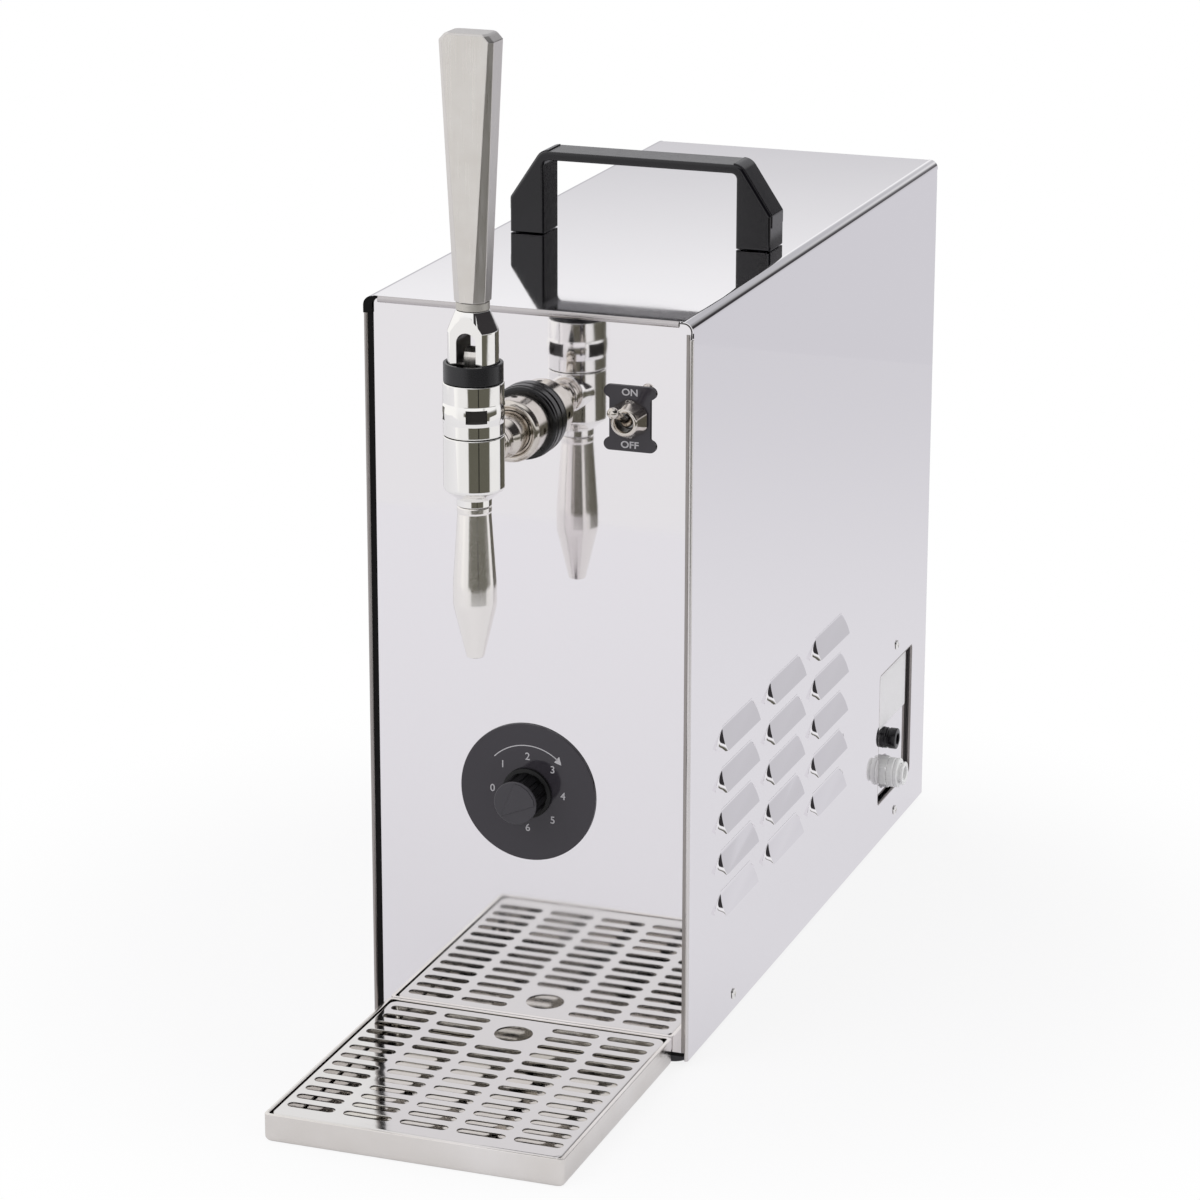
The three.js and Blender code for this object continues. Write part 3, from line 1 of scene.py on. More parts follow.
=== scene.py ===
# %% [markdown]
# # A one-tap counter-top cooler in mirror-polished steel
#
# This lesson dresses a packed CAD model in Blender. The object is a tall, narrow
# dispensing unit: a folded steel case, a stout tap with a long paddle handle, a slotted
# drip tray, two small controls and a black carrying handle. Nearly every surface is a
# mirror or close to one, so three things decide the picture: clean, exact shapes, edges
# that are really rounded, and something simple and bright for the metal to reflect.

# Each CAD node becomes an object that stays exactly where it is.

# %% Load the packed model
import math

import bmesh
import bpy
from mathutils import Matrix, Vector


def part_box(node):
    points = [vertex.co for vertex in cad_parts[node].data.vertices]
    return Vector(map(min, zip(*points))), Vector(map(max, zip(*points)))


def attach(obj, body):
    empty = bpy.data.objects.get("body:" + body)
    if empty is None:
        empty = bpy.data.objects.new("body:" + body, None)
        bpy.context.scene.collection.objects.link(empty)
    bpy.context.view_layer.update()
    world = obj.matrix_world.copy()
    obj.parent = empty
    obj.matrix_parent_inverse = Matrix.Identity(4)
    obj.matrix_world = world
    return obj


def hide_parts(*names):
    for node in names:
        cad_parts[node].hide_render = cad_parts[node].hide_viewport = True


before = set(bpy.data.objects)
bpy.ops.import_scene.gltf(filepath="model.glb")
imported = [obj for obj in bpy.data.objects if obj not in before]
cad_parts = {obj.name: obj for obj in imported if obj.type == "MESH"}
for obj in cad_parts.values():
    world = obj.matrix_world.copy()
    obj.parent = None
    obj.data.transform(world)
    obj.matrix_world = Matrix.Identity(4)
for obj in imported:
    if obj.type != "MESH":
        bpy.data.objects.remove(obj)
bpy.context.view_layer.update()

# %% [markdown]
# ## A workshop ruler
#
# The unit was measured in millimetres from the middle of the case's front edge, standing
# on the counter. Two numbers from the front panel's box tie that ruler to Blender's
# metres, so every piece below can be given the sizes that were measured.

# %% Tie millimetres on the case to metres in the scene
MM = 0.001
PANEL_SET_BACK = 1.5  # mm from the case's front edge to the front panel
X, Y, Z = Vector((1, 0, 0)), Vector((0, 1, 0)), Vector((0, 0, 1))

panel_low, panel_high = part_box("front_panel")
MIDDLE = (panel_low.x + panel_high.x) / 2
EDGE = panel_low.y - PANEL_SET_BACK * MM


def at(x, y, z):
    """A point measured on the case in millimetres, as a point of the scene in metres."""
    return Vector((MIDDLE + x * MM, EDGE + y * MM, z * MM))


def add(name, data):
    """A new object in the scene."""
    made = bpy.data.objects.new(name, data)
    bpy.context.scene.collection.objects.link(made)
    return made


print("the case's middle is at x =", round(MIDDLE, 5), "and its front edge at y =", round(EDGE, 5))

# %% [markdown]
# ## The camera
#
# The photograph looks down by about 17 degrees from about 20 degrees to the right, from
# some two metres away, with a long lens. The angles, the lens and the place were fitted to
# the corners of the case and the tray. The camera is built from its three directions, so
# its tiny roll is exact too.

# %% Set the camera
YAW, PITCH, ROLL = (math.radians(angle) for angle in (20.0917, 17.0808, 0.0861))
CAMERA_PLACE = (727.34, -1880.89, 862.16)
LENS, SENSOR = 125.375, 36

ahead = Vector((-math.sin(YAW) * math.cos(PITCH), math.cos(YAW) * math.cos(PITCH), -math.sin(PITCH)))
level = Vector((math.cos(YAW), math.sin(YAW), 0))
upward = level.cross(ahead)
right = level * math.cos(ROLL) + upward * math.sin(ROLL)
top = upward * math.cos(ROLL) - level * math.sin(ROLL)

camera = add("camera", bpy.data.cameras.new("camera"))
camera.data.sensor_width = SENSOR
camera.data.lens = LENS
camera.data.clip_end = 20
directions = Matrix((right, top, -ahead)).transposed().to_4x4()
camera.matrix_world = Matrix.Translation(at(*CAMERA_PLACE)) @ directions
bpy.context.scene.camera = camera
print("camera at", [round(v, 3) for v in camera.matrix_world.translation])

# %% [markdown]
# ## Colours as they are seen
#
# Colours are read on a screen, from 0 to 255. Shaders work in linear light, so one
# small helper turns a seen colour into the number that the shader needs.

# %% Turn a seen colour into a shader colour
bpy.context.scene.view_settings.view_transform = "Standard"
WHITE = (1, 1, 1, 1)


def seen(red, green, blue):
    """A colour read from a screen (0 to 255) as linear light with full alpha."""
    def linear(value):
        value /= 255
        return value / 12.92 if value <= 0.04045 else ((value + 0.055) / 1.055) ** 2.4
    return (linear(red), linear(green), linear(blue), 1)


print("middle grey 128 is", round(seen(128, 128, 128)[0], 3), "in linear light")

# %% [markdown]
# ## Wiring shaders
#
# The room, the counter and every finish are small networks of shader nodes. One class
# wires them all: what is fed into a node may be a number, a colour or the output of another
# node, so a network reads like a few lines of arithmetic.

# %% Set up the wiring


class Wiring:
    """Adds nodes to one shader network."""

    def __init__(self, tree):
        self.tree = tree

    def node(self, kind, fed=(), **settings):
        """A node of this kind; fed pairs the names or numbers of its inputs with values."""
        made = self.tree.nodes.new("ShaderNode" + kind)
        for key, value in settings.items():
            setattr(made, key, value)
        for key, value in dict(fed).items():
            self.feed(made.inputs[key], value)
        return made

    def feed(self, entry, value):
        if isinstance(value, bpy.types.NodeSocket):
            self.tree.links.new(value, entry)
        else:
            entry.default_value = value

    def math(self, operation, *values):
        return self.node("Math", enumerate(values), operation=operation).outputs[0]

    def ramp(self, value, low, high, start=0.0, end=1.0, shape="SMOOTHSTEP"):
        """Start where value is below low, end where it is above high, and a slope between."""
        ends = {"Value": value, "From Min": low, "From Max": high, "To Min": start, "To Max": end}
        return self.node("MapRange", ends, interpolation_type=shape).outputs["Result"]

    def mix(self, share, first, second):
        """The first colour where share is 0, the second where it is 1."""
        return self.node("Mix", {0: share, "A": first, "B": second}, data_type="RGBA").outputs["Result"]

    def mix_shader(self, share, first, second):
        return self.node("MixShader", {0: share, 1: first, 2: second}).outputs[0]


print("wiring tools:", [name for name in vars(Wiring) if not name.startswith("_")])

# %% [markdown]
# ## The room that the metal reflects
#
# A mirror has hardly any colour of its own: it shows the room. The room here is a bright
# studio with white walls and three darker parts. Beyond the table, towards the front and
# the right, nobody lit the floor: that draws the long olive bands down the tap. On the
# right, above the table, stands a dark wall: it darkens one side of every cone and draws
# the dark line along the bent edge of the case. At the back the wall is grey at the
# horizon, white a little higher, so the top of the case fades to grey towards the rear, and
# grey again above that, except at the left. Only the bent edge shows that last grey.
#
# The pattern depends on the direction in the room alone, like a painted sky, so it stays
# put whatever the camera does. A direction has a height from -1 to 1 and a turn in degrees
# from straight ahead towards the right. Each part of the room is a product of shares.

# %% Measure the direction in which a mirror looks
world = bpy.data.worlds.new("studio")
world.use_nodes = True
bpy.context.scene.world = world
room = Wiring(world.node_tree)
room.tree.nodes.clear()
direction = room.node("TexCoord").outputs["Generated"]
east, north, height = room.node("SeparateXYZ", {0: direction}).outputs
around = room.math("ARCTAN2", east, room.math("MULTIPLY", north, -1.0))
turn = room.math("MULTIPLY", around, math.degrees(1))


def above(value, low, high):
    """0 below low, 1 above high, smooth between."""
    return room.ramp(value, low, high)


def below(value, low, high):
    return room.math("SUBTRACT", 1.0, above(value, low, high))


def shifted(value, share, amount):
    """The value with amount times a share added to it."""
    return room.math("MULTIPLY_ADD", share, amount, value)


def product(whole, *shares):
    for share in shares:
        whole = room.math("MULTIPLY", whole, share)
    return whole


print("nodes that measure a direction:", len(room.tree.nodes))

# %% Draw the dark parts of the room
DARK_FROM, DARK_TO = 2, 82  # the turns between which the floor is unlit
wider = above(height, -0.26, -0.18)  # further away the unlit floor spreads to both sides
dark_floor = product(above(shifted(turn, wider, 16.0), DARK_FROM - 2.5, DARK_FROM + 2.5),
                     below(shifted(turn, wider, -30.0), DARK_TO - 3, DARK_TO + 3),
                     below(height, -0.10, 0.02))
seam = product(above(turn, 37.5, 39.0), below(turn, 41.0, 42.5))  # a black line in the unlit floor

# The dark wall starts at 60 degrees near the horizon and reaches further round higher up.
# Towards the rear its foot and its top are lower.
wall_start = shifted(room.math("SUBTRACT", turn, 63.5), height, 70.0)
dark_wall = product(above(wall_start, -3, 3), below(turn, 158, 173),
                    above(shifted(height, above(turn, 148, 154), 0.065), 0.085, 0.12),
                    below(shifted(height, above(turn, 125, 160), 0.42), 0.74, 0.96))
print("the unlit floor spans", DARK_TO - DARK_FROM, "degrees")

# %% Paint the walls and lay the dark parts over them
front_wall = room.mix(above(height, -0.35, 0.35), seen(236, 235, 236), seen(250, 250, 252))
front_wall = room.mix(below(turn, -50, -30), front_wall, seen(253, 252, 252))
rear_wall = room.mix(above(height, -0.12, 0.0), seen(212, 211, 216), seen(199, 198, 202))
rear_wall = room.mix(above(height, 0.165, 0.245), rear_wall, seen(254, 254, 255))
grey_top = product(above(height, 0.245, 0.35), above(east, -0.36, -0.335))
rear_wall = room.mix(grey_top, rear_wall, seen(190, 190, 194))
behind = above(room.math("ABSOLUTE", turn), 125, 145)
in_metal = room.mix(behind, front_wall, rear_wall)
in_metal = room.mix(dark_wall, in_metal, seen(52, 50, 52))
in_metal = room.mix(dark_floor, in_metal, room.mix(seam, seen(94, 92, 82), seen(26, 26, 24)))
print("nodes of the painted room:", len(room.tree.nodes))

# %% [markdown]
# ## What the camera and the matt surfaces see
#
# The picture has a plain white background, so the camera itself, and what it sees through
# clear plastic, gets white. Matt surfaces would only blur the painted room, so they get a
# plain soft light, whose strength sets how bright the plastics are.

# %% Show the room only where metal mirrors it
SOFT_LIGHT = 0.80
rays = room.node("LightPath").outputs
straight = room.math("MAXIMUM", rays["Is Camera Ray"], rays["Is Transmission Ray"])
sharp = room.math("MAXIMUM", straight, rays["Is Glossy Ray"])
view = room.node("Background", {"Color": room.mix(straight, in_metal, WHITE), "Strength": 1.0})
soft = room.node("Background", {"Color": WHITE, "Strength": SOFT_LIGHT})
room.node("OutputWorld", {"Surface": room.mix_shader(sharp, soft.outputs[0], view.outputs[0])})
print("soft light:", SOFT_LIGHT)

# %% [markdown]
# ## Two soft lamps
#
# A photographer would hang one large soft box in front and above on the left and a weaker
# one at the back. They only shape the matt surfaces a little, so both are large and plain,
# and the metal doesn't show them as squares.

# %% Hang the lamps
for name, place, aim, size, power in (
        ("front_soft_box", at(-900, -1300, 1700), at(0, 100, 200), 1.6, 11),
        ("rear_soft_box", at(900, 1400, 1500), at(0, 200, 200), 1.4, 5)):
    lamp = add(name, bpy.data.lights.new(name, "AREA"))
    lamp.data.shape = "SQUARE"
    lamp.data.size = size
    lamp.data.energy = power
    lamp.location = place
    lamp.rotation_euler = (aim - place).to_track_quat("-Z", "Y").to_euler()
    lamp.visible_glossy = False

# %% [markdown]
# ## The counter
#
# The unit stands on a plain white table whose front right corner is a large curve, less
# than a metre away from the tap. Beyond that curve the tap mirrors the unlit floor, and
# because the curve keeps one distance, the bands down the tap end at one height. Seen
# directly the table is nearly white, with the unit's soft shadow kept, and it brightens to
# plain white towards its edges, so that it melts into the background. Seen in the metal it
# is partly the lit table and partly a glowing colour that paints its light, a little
# brighter behind the unit, where the rear lamp hangs.

# %% Lay the counter
TABLE_LEFT, TABLE_RIGHT = -1500, 900
TABLE_FRONT, TABLE_REAR = -930, 1500
TABLE_CURVE = 860  # radius of the front right corner, round the tap


def arc(x, y, radius, start, end, steps=8):
    """Points round a part circle, angles in degrees."""
    angles = [math.radians(start + (end - start) * i / steps) for i in range(steps + 1)]
    return [(x + radius * math.cos(angle), y + radius * math.sin(angle)) for angle in angles]


corner = arc(0, TABLE_FRONT + TABLE_CURVE, TABLE_CURVE, -90, 0, 18)
table_outline = [(TABLE_LEFT, TABLE_FRONT), *corner, (TABLE_RIGHT, 300), (TABLE_RIGHT, TABLE_REAR),
                 (TABLE_LEFT, TABLE_REAR)]
table = add("counter", bpy.data.meshes.new("counter"))
table.data.from_pydata([at(x, y, 0) for x, y in table_outline], [], [range(len(table_outline))])
print("table:", TABLE_RIGHT - TABLE_LEFT, "by", TABLE_REAR - TABLE_FRONT, "mm")

# %% Paint the counter
TABLE_SHOWN = 0.84  # share of plain white where the camera sees the table beside the unit
paint = bpy.data.materials.new("counter_white")
paint.use_nodes = True
table.data.materials.append(paint)
paint = Wiring(paint.node_tree)
paint.tree.nodes.clear()
spot = paint.node("TexCoord").outputs["Object"]
along_case = paint.node("SeparateXYZ", {0: spot}).outputs["Y"]


def by_depth(front, rear, start=0.0, end=1.0):
    """From start to end between two places along the case's length, in millimetres."""
    return paint.ramp(along_case, EDGE + front * MM, EDGE + rear * MM, start, end)


from_unit = paint.node("VectorMath", {0: spot, 1: at(0, 150, 0)}, operation="DISTANCE").outputs["Value"]
rays = paint.node("LightPath").outputs
straight = paint.math("MAXIMUM", rays["Is Camera Ray"], rays["Is Transmission Ray"])
plain_share = paint.math("MULTIPLY", straight, paint.ramp(from_unit, 0.22, 0.46, TABLE_SHOWN, 1.0))
metal_share = paint.math("MULTIPLY", rays["Is Glossy Ray"], by_depth(-250, 200, 0.3, 0.85))
lit = paint.node("BsdfDiffuse", {"Color": seen(232, 231, 234)}).outputs[0]
# Painted light: a glowing tone for the lit table as the metal sees it, brighter towards the rear lamp.
painted_lit_tone = paint.mix(by_depth(500, 1500), seen(229, 228, 232), seen(212, 211, 216))
in_metal = paint.node("Emission", {"Color": painted_lit_tone}).outputs[0]
plain = paint.node("Emission", {"Color": WHITE}).outputs[0]
surface = paint.mix_shader(plain_share, paint.mix_shader(metal_share, lit, in_metal), plain)
paint.node("OutputMaterial", {"Surface": surface})
print("beside the unit the table shows", TABLE_SHOWN, "of plain white")

# %% [markdown]
# ## How a finish is put together
#
# Each finish is one Principled shader. Its plain values are set straight on the sockets, and
# noise then varies the roughness, the colour or the surface a little, at the size that the
# real finish shows, stretched into streaks where the metal is brushed. Each finish belongs
# to one of the slots that the record names. The first finish of a slot is its main one,
# which the CAD nodes that keep their shape get at the end.

# %% Set up the finish bench
main_finish = {}


class Finish(Wiring):
    """A Principled material for a slot, its colours given as they are seen."""

    def __init__(self, slot, name, metallic, colour, roughness, **more):
        self.slot = slot
        self.material = bpy.data.materials.new(name)
        self.material.use_nodes = True
        super().__init__(self.material.node_tree)
        self.place = self.node("TexCoord").outputs["Object"]
        self.set(Base_Color=seen(*colour), Metallic=metallic, Roughness=roughness, **more)
        main_finish.setdefault(slot, self)

    def set(self, **values):
        for key, value in values.items():
            self.feed(self.tree.nodes["Principled BSDF"].inputs[key.replace("_", " ")], value)
        return self

    def noise(self, size, detail, stretch=(1, 1, 1)):
        """Noise whose grains are about size millimetres, longer along a stretched axis."""
        grid = self.node("Mapping", {"Vector": self.place, "Scale": [1000 / size / s for s in stretch]})
        cloud = self.node("TexNoise", {"Vector": grid.outputs[0], "Scale": 1, "Detail": detail})
        return cloud.outputs["Fac"]

    def spread(self, grain, low=0.0, high=1.0):
        return self.ramp(self.noise(*grain), 0.3, 0.7, low, high, "LINEAR")

    def rough(self, low, high, *grain):
        return self.set(Roughness=self.spread(grain, low, high))

    def tones(self, first, second, *grain):
        return self.set(Base_Color=self.mix(self.spread(grain), seen(*first), seen(*second)))

    def dent(self, depth, strength, *grain):
        """Noise pressed into the surface, depth millimetres deep."""
        values = {"Distance": depth * MM, "Strength": strength, "Height": self.noise(*grain)}
        return self.set(Normal=self.node("Bump", values).outputs[0])


print("finishing tools:", [name for name in vars(Finish) if not name.startswith("_")])

# %% [markdown]
# ## The steels
#
# The case is sheet with a mirror finish straight from the mill: it reflects sharply, a
# touch cool and slightly wavy over a hand's width, with faint wiping marks that only change
# the roughness. The tap is machined bar, polished, so it is a little warmer and has no
# sheet waves; its shank and the toggle are duller. Rolled edges are duller and a little
# darker than the sheet, and two of them are greyer still, for painted shade and a painted
# reflection. Cut edges are coloured dark for painted shade. The faces of the paddle and the
# tray are brushed, which is noise stretched along the brushing. The ferrule is blasted and
# the spout is satin, so their noise is fine and even.

# %% Mix the steels
mirror = Finish("mirror_steel", "mirror_sheet", 1.0, (245, 243, 245), 0.04)
mirror.rough(0.025, 0.06, 45, 4).dent(0.05, 0.6, 260, 1)
hem_steel = Finish("mirror_steel", "rolled_hem", 1.0, (226, 223, 221), 0.26)
hem_steel.rough(0.20, 0.32, 2.5, 3, (1, 1, 12))
# Painted shade: a greyer colour for the left hem, which lies in shade, and for the grey strip in the right
# gap.
hem_shade = Finish("mirror_steel", "rolled_hem_in_shade", 1.0, (166, 161, 158), 0.36)
hem_shade.rough(0.33, 0.39, 2.5, 3, (1, 1, 12))
# Painted reflection: the top hem's grey stands for the greyer part of the room it mirrors.
hem_reflection_grey = Finish("mirror_steel", "rolled_hem_painted_reflection", 1.0, (199, 195, 195), 0.28)
hem_reflection_grey.rough(0.22, 0.34, 2.5, 3, (12, 1, 1))
# Painted shade: a dark colour for the cut edges and the window's flange, where shade falls on them.
cut_edge = Finish("mirror_steel", "cut_edge", 0.6, (62, 59, 58), 0.32)
cut_edge.rough(0.26, 0.4, 1.2, 3)

polished = Finish("polished_steel", "polished_bar", 1.0, (249, 248, 245), 0.06)
polished.rough(0.035, 0.085, 6, 4).dent(0.002, 0.5, 9, 2)
soft_steel = Finish("polished_steel", "soft_polished_steel", 1.0, (216, 210, 202), 0.15)
soft_steel.rough(0.12, 0.17, 9, 2).tones((211, 205, 197), (221, 215, 208), 5, 2)
oxide = Finish("polished_steel", "unpolished_notch", 0.3, (44, 42, 41), 0.35)
oxide.rough(0.3, 0.42, 1.0, 2)
satin = Finish("polished_steel", "satin_spout", 1.0, (246, 243, 239), 0.17)
satin.rough(0.13, 0.21, 0.7, 2).dent(0.003, 0.4, 0.7, 2)
grid_steel = Finish("polished_steel", "polished_grid", 1.0, (221, 219, 217), 0.07)
grid_steel.rough(0.045, 0.10, 12, 4)

BRUSHED_UP = (0.55, 3, (1, 1, 60))
BRUSHED_ALONG = (0.8, 3, (70, 70, 1))
brushed = Finish("brushed_steel", "brushed_paddle", 1.0, (226, 222, 215), 0.30, Anisotropic=0.5)
brushed.tones((229, 225, 219), (236, 233, 228), 14, 3)
brushed.rough(0.26, 0.35, *BRUSHED_UP).dent(0.002, 0.5, *BRUSHED_UP)
ground = Finish("brushed_steel", "ground_edges", 1.0, (213, 210, 207), 0.36)
ground.rough(0.27, 0.39, 0.8, 3, (1, 1, 40))
blasted = Finish("brushed_steel", "blasted_ferrule", 1.0, (205, 202, 195), 0.5)
blasted.rough(0.42, 0.58, 0.5, 2).dent(0.03, 0.7, 0.5, 2)
pan_steel = Finish("brushed_steel", "brushed_pan", 1.0, (236, 232, 227), 0.18)
pan_steel.tones((231, 227, 221), (241, 238, 234), 40, 3)
pan_steel.rough(0.13, 0.26, *BRUSHED_ALONG).dent(0.003, 0.4, *BRUSHED_ALONG)
pan_inside = Finish("brushed_steel", "pan_inside", 1.0, (214, 209, 201), 0.05)
pan_inside.rough(0.035, 0.07, 6, 2).tones((208, 203, 195), (220, 216, 209), 40, 2)

zinc = Finish("galvanised_steel", "zinc_sheet", 1.0, (176, 179, 182), 0.38)
zinc.rough(0.30, 0.48, 9, 2).tones((160, 164, 168), (190, 192, 195), 16, 1)
print("steels:", [m.name for m in bpy.data.materials])

# %% [markdown]
# ## The plastics and the rubber
#
# The carrying handle is moulded in a slightly bluish black with a soft sheen. The collar
# and the knob are plainer blacks. The two control plates are glossy and dark, so the room
# shows in them as in a dark window. The rubber is matt, except for the smooth ring of the
# tap. The printing is a pale grey ink, and the white fitting a milky plastic.

# %% Mix the plastics and the rubber
moulded = Finish("black_plastic", "moulded_black", 0.0, (10, 9, 14), 0.20)
moulded.rough(0.18, 0.23, 4, 2).tones((8, 7, 12), (12, 11, 16), 30, 2).dent(0.004, 0.4, 4, 2)
collar_black = Finish("black_plastic", "collar_black", 0.0, (27, 27, 30), 0.26)
collar_black.rough(0.24, 0.31, 0.6, 2, (1, 1, 0.4)).dent(0.003, 0.5, 0.6, 2, (1, 1, 0.4))
knob_face = Finish("black_plastic", "knob_face", 0.0, (58, 56, 61), 0.36)
knob_face.rough(0.30, 0.42, 0.4, 2)
knob_black = Finish("black_plastic", "knob_black", 0.0, (8, 8, 9), 0.34, Specular_IOR_Level=0.3)
knob_black.rough(0.24, 0.38, 0.4, 2).dent(0.006, 0.4, 0.4, 2)
dark_gloss = Finish("dark_face", "dark_gloss_plate", 0.0, (50, 47, 53), 0.10)
dark_gloss.rough(0.07, 0.14, 5, 3).dent(0.002, 0.4, 1.2, 2)

rubber = Finish("black_rubber", "black_rubber", 0.0, (10, 10, 12), 0.24)
rubber.rough(0.21, 0.28, 6, 2).dent(0.008, 0.4, 3, 2)
# Painted shade: black for the shade deep in the gaps round the front panel.
painted_gap_shade = Finish("black_rubber", "gap_shade_black", 0.0, (13, 12, 12), 0.55, Specular_IOR_Level=0.12)
painted_gap_shade.rough(0.5, 0.6, 2.0, 2)
foot_rubber = Finish("black_rubber", "foot_rubber", 0.0, (58, 57, 60), 0.55)
foot_rubber.rough(0.48, 0.65, 2, 3).dent(0.02, 0.5, 0.8, 2)

milky = Finish("white_plastic", "milky_plastic", 0.0, (250, 250, 250), 0.28)
milky.rough(0.25, 0.31, 9, 2).tones((248, 248, 248), (252, 252, 251), 8, 2)
ink = Finish("white_plastic", "pale_ink", 0.0, (186, 184, 188), 0.4)
ink.tones((178, 176, 180), (192, 190, 194), 0.6, 2)
paper = Finish("white_plastic", "blank_label", 0.0, (244, 243, 244), 0.42)
paper.tones((240, 239, 240), (248, 247, 248), 1.0, 4)
print("materials so far:", len(bpy.data.materials))

# %% [markdown]
# ## The hidden parts
#
# The inner parts have plain workshop finishes: black enamel, cast aluminium, copper, foam
# and natural tube. They hardly show, but the case is open behind the louvres, and the part
# may be used without its cover.

# %% Mix the finishes of the hidden parts
enamel = Finish("black_enamel", "black_enamel", 0.0, (26, 26, 28), 0.22)
enamel.set(Coat_Weight=0.5, Coat_Roughness=0.08).rough(0.18, 0.32, 3, 3).dent(0.02, 0.4, 1.6, 2)
cast = Finish("cast_aluminium", "cast_aluminium", 1.0, (188, 190, 192), 0.45)
cast.rough(0.36, 0.56, 1.2, 3).dent(0.05, 0.6, 1.0, 3)
copper = Finish("copper", "copper_tube", 1.0, (200, 122, 88), 0.26)
copper.rough(0.2, 0.4, 5, 3).tones((178, 98, 70), (214, 140, 102), 10, 4)
foam = Finish("foam", "rigid_foam", 0.0, (226, 214, 172), 0.85)
foam.tones((216, 202, 158), (234, 224, 186), 6, 4).dent(0.3, 0.7, 1.1, 4)
tube = Finish("clear_plastic", "natural_tube", 0.0, (222, 226, 226), 0.22, Transmission_Weight=0.35)
tube.rough(0.16, 0.3, 4, 2)
print("slots with a finish:", sorted(main_finish))

# %% [markdown]
# ## From shapes to pieces
#
# Every shape below is a bmesh in millimetres. `put` turns its axes to the directions that
# the piece needs and sets it in the scene. `piece` makes an object of it, shades it smooth
# except over real corners, hangs it on the body that it rides on and hides the CAD node that
# it stands for. The weighted normals modifier keeps flat faces flat right up to their rounded
# edges, which a mirror finish would otherwise give away at once.

# %% Helpers that place a shape
UPRIGHT = (X, Y, Z)
ON_FRONT = (X, Z, Y)  # drawn as it is seen from the front, its height towards the rear
OUT_OF_FRONT = (X, Z, -Y)  # the same, but its height sticks out
BACKWARDS = (X, -Z, Y)  # turned parts that lie along the case
ON_SIDE = (Y, Z, X)  # drawn on the right side, its height sticks out


def put(shape, spot=(0, 0, 0), ways=UPRIGHT):
    """Turns a shape in millimetres so that its axes run these ways, and sets it at spot."""
    turned_by = Matrix(ways).transposed()
    for vertex in shape.verts:
        vertex.co = at(*(turned_by @ vertex.co + Vector(spot)))
    return shape


def gather(*shapes):
    """Several shapes as one, each left as it is."""
    whole = bmesh.new()
    for shape in shapes:
        mesh = bpy.data.meshes.new("shape")
        shape.to_mesh(mesh)
        shape.free()
        whole.from_mesh(mesh)
        bpy.data.meshes.remove(mesh)
    return whole


print("the height of a shape drawn on the front points along", tuple(ON_FRONT[2]))

# %% Helpers that make a piece of a shape
CREASE = 32  # degrees; where faces meet at more than this, the edge stays an edge


def piece(name, shape, finish, stands_for=None, body="cooler", crease=CREASE):
    """An object from a placed shape, riding on a body and standing for a CAD node."""
    bmesh.ops.recalc_face_normals(shape, faces=shape.faces)
    made = add(name, bpy.data.meshes.new(name))
    shape.to_mesh(made.data)
    shape.free()
    made.data.shade_smooth()
    made.data.set_sharp_from_angle(angle=math.radians(crease))
    made.data.materials.append(finish.material)
    made.modifiers.new("even_shading", "WEIGHTED_NORMAL").keep_sharp = True
    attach(made, body)
    if stands_for:
        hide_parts(stands_for)
    print(name, "has", len(made.data.polygons), "faces")
    return made


def second_finish(made, finish, chosen):
    """Another finish for the faces that chosen says yes to, by their middle in millimetres."""
    made.data.materials.append(finish.material)
    for face in made.data.polygons:
        middle = (face.center - at(0, 0, 0)) / MM
        face.material_index = int(chosen(middle, face.normal))
    print("  of these in another finish:", sum(face.material_index for face in made.data.polygons))


print("edges stay sharp from", CREASE, "degrees on")

# %% [markdown]
# ## Sheet and plate
#
# Sheet metal is a flat outline with holes and a thickness. Blender's 2D curves fill such
# outlines, give them thickness and round every edge in one go, holes included, so a plate
# is drawn as a curve and then turned into a mesh.

# %% Helpers for outlines


def circle(x, y, radius, steps=48):
    return arc(x, y, radius, 0, 360, steps)[:-1]


def rounded(low_x, high_x, low_y, high_y, radius, steps=6):
    """A rectangle with rounded corners."""
    left, right, low, high = low_x + radius, high_x - radius, low_y + radius, high_y - radius
    return (arc(right, high, radius, 0, 90, steps) + arc(left, high, radius, 90, 180, steps)
            + arc(left, low, radius, 180, 270, steps) + arc(right, low, radius, 270, 360, steps))


def long_hole(x, y, radius, straight):
    """A slot with round ends, straight millimetres from its middle to both ends' centres."""
    return arc(x + straight, y, radius, -90, 90) + arc(x - straight, y, radius, 90, 270)


print("a long hole is drawn with", len(long_hole(0, 0, 3, 9)), "points")

# %% Helpers for plates
SAME_SPOT = 0.0005  # mm


def merged(shape):
    """The shape with corners joined that fell on the same spot."""
    bmesh.ops.remove_doubles(shape, verts=shape.verts, dist=SAME_SPOT)
    return shape


def solid_of(curve):
    """Turns a curve or a text into a shape and removes the drawing."""
    holder = add("drawing", curve)
    mesh = bpy.data.meshes.new_from_object(holder.evaluated_get(bpy.context.evaluated_depsgraph_get()))
    shape = bmesh.new()
    shape.from_mesh(mesh)
    bpy.data.objects.remove(holder)
    bpy.data.meshes.remove(mesh)
    bpy.data.curves.remove(curve)
    return shape


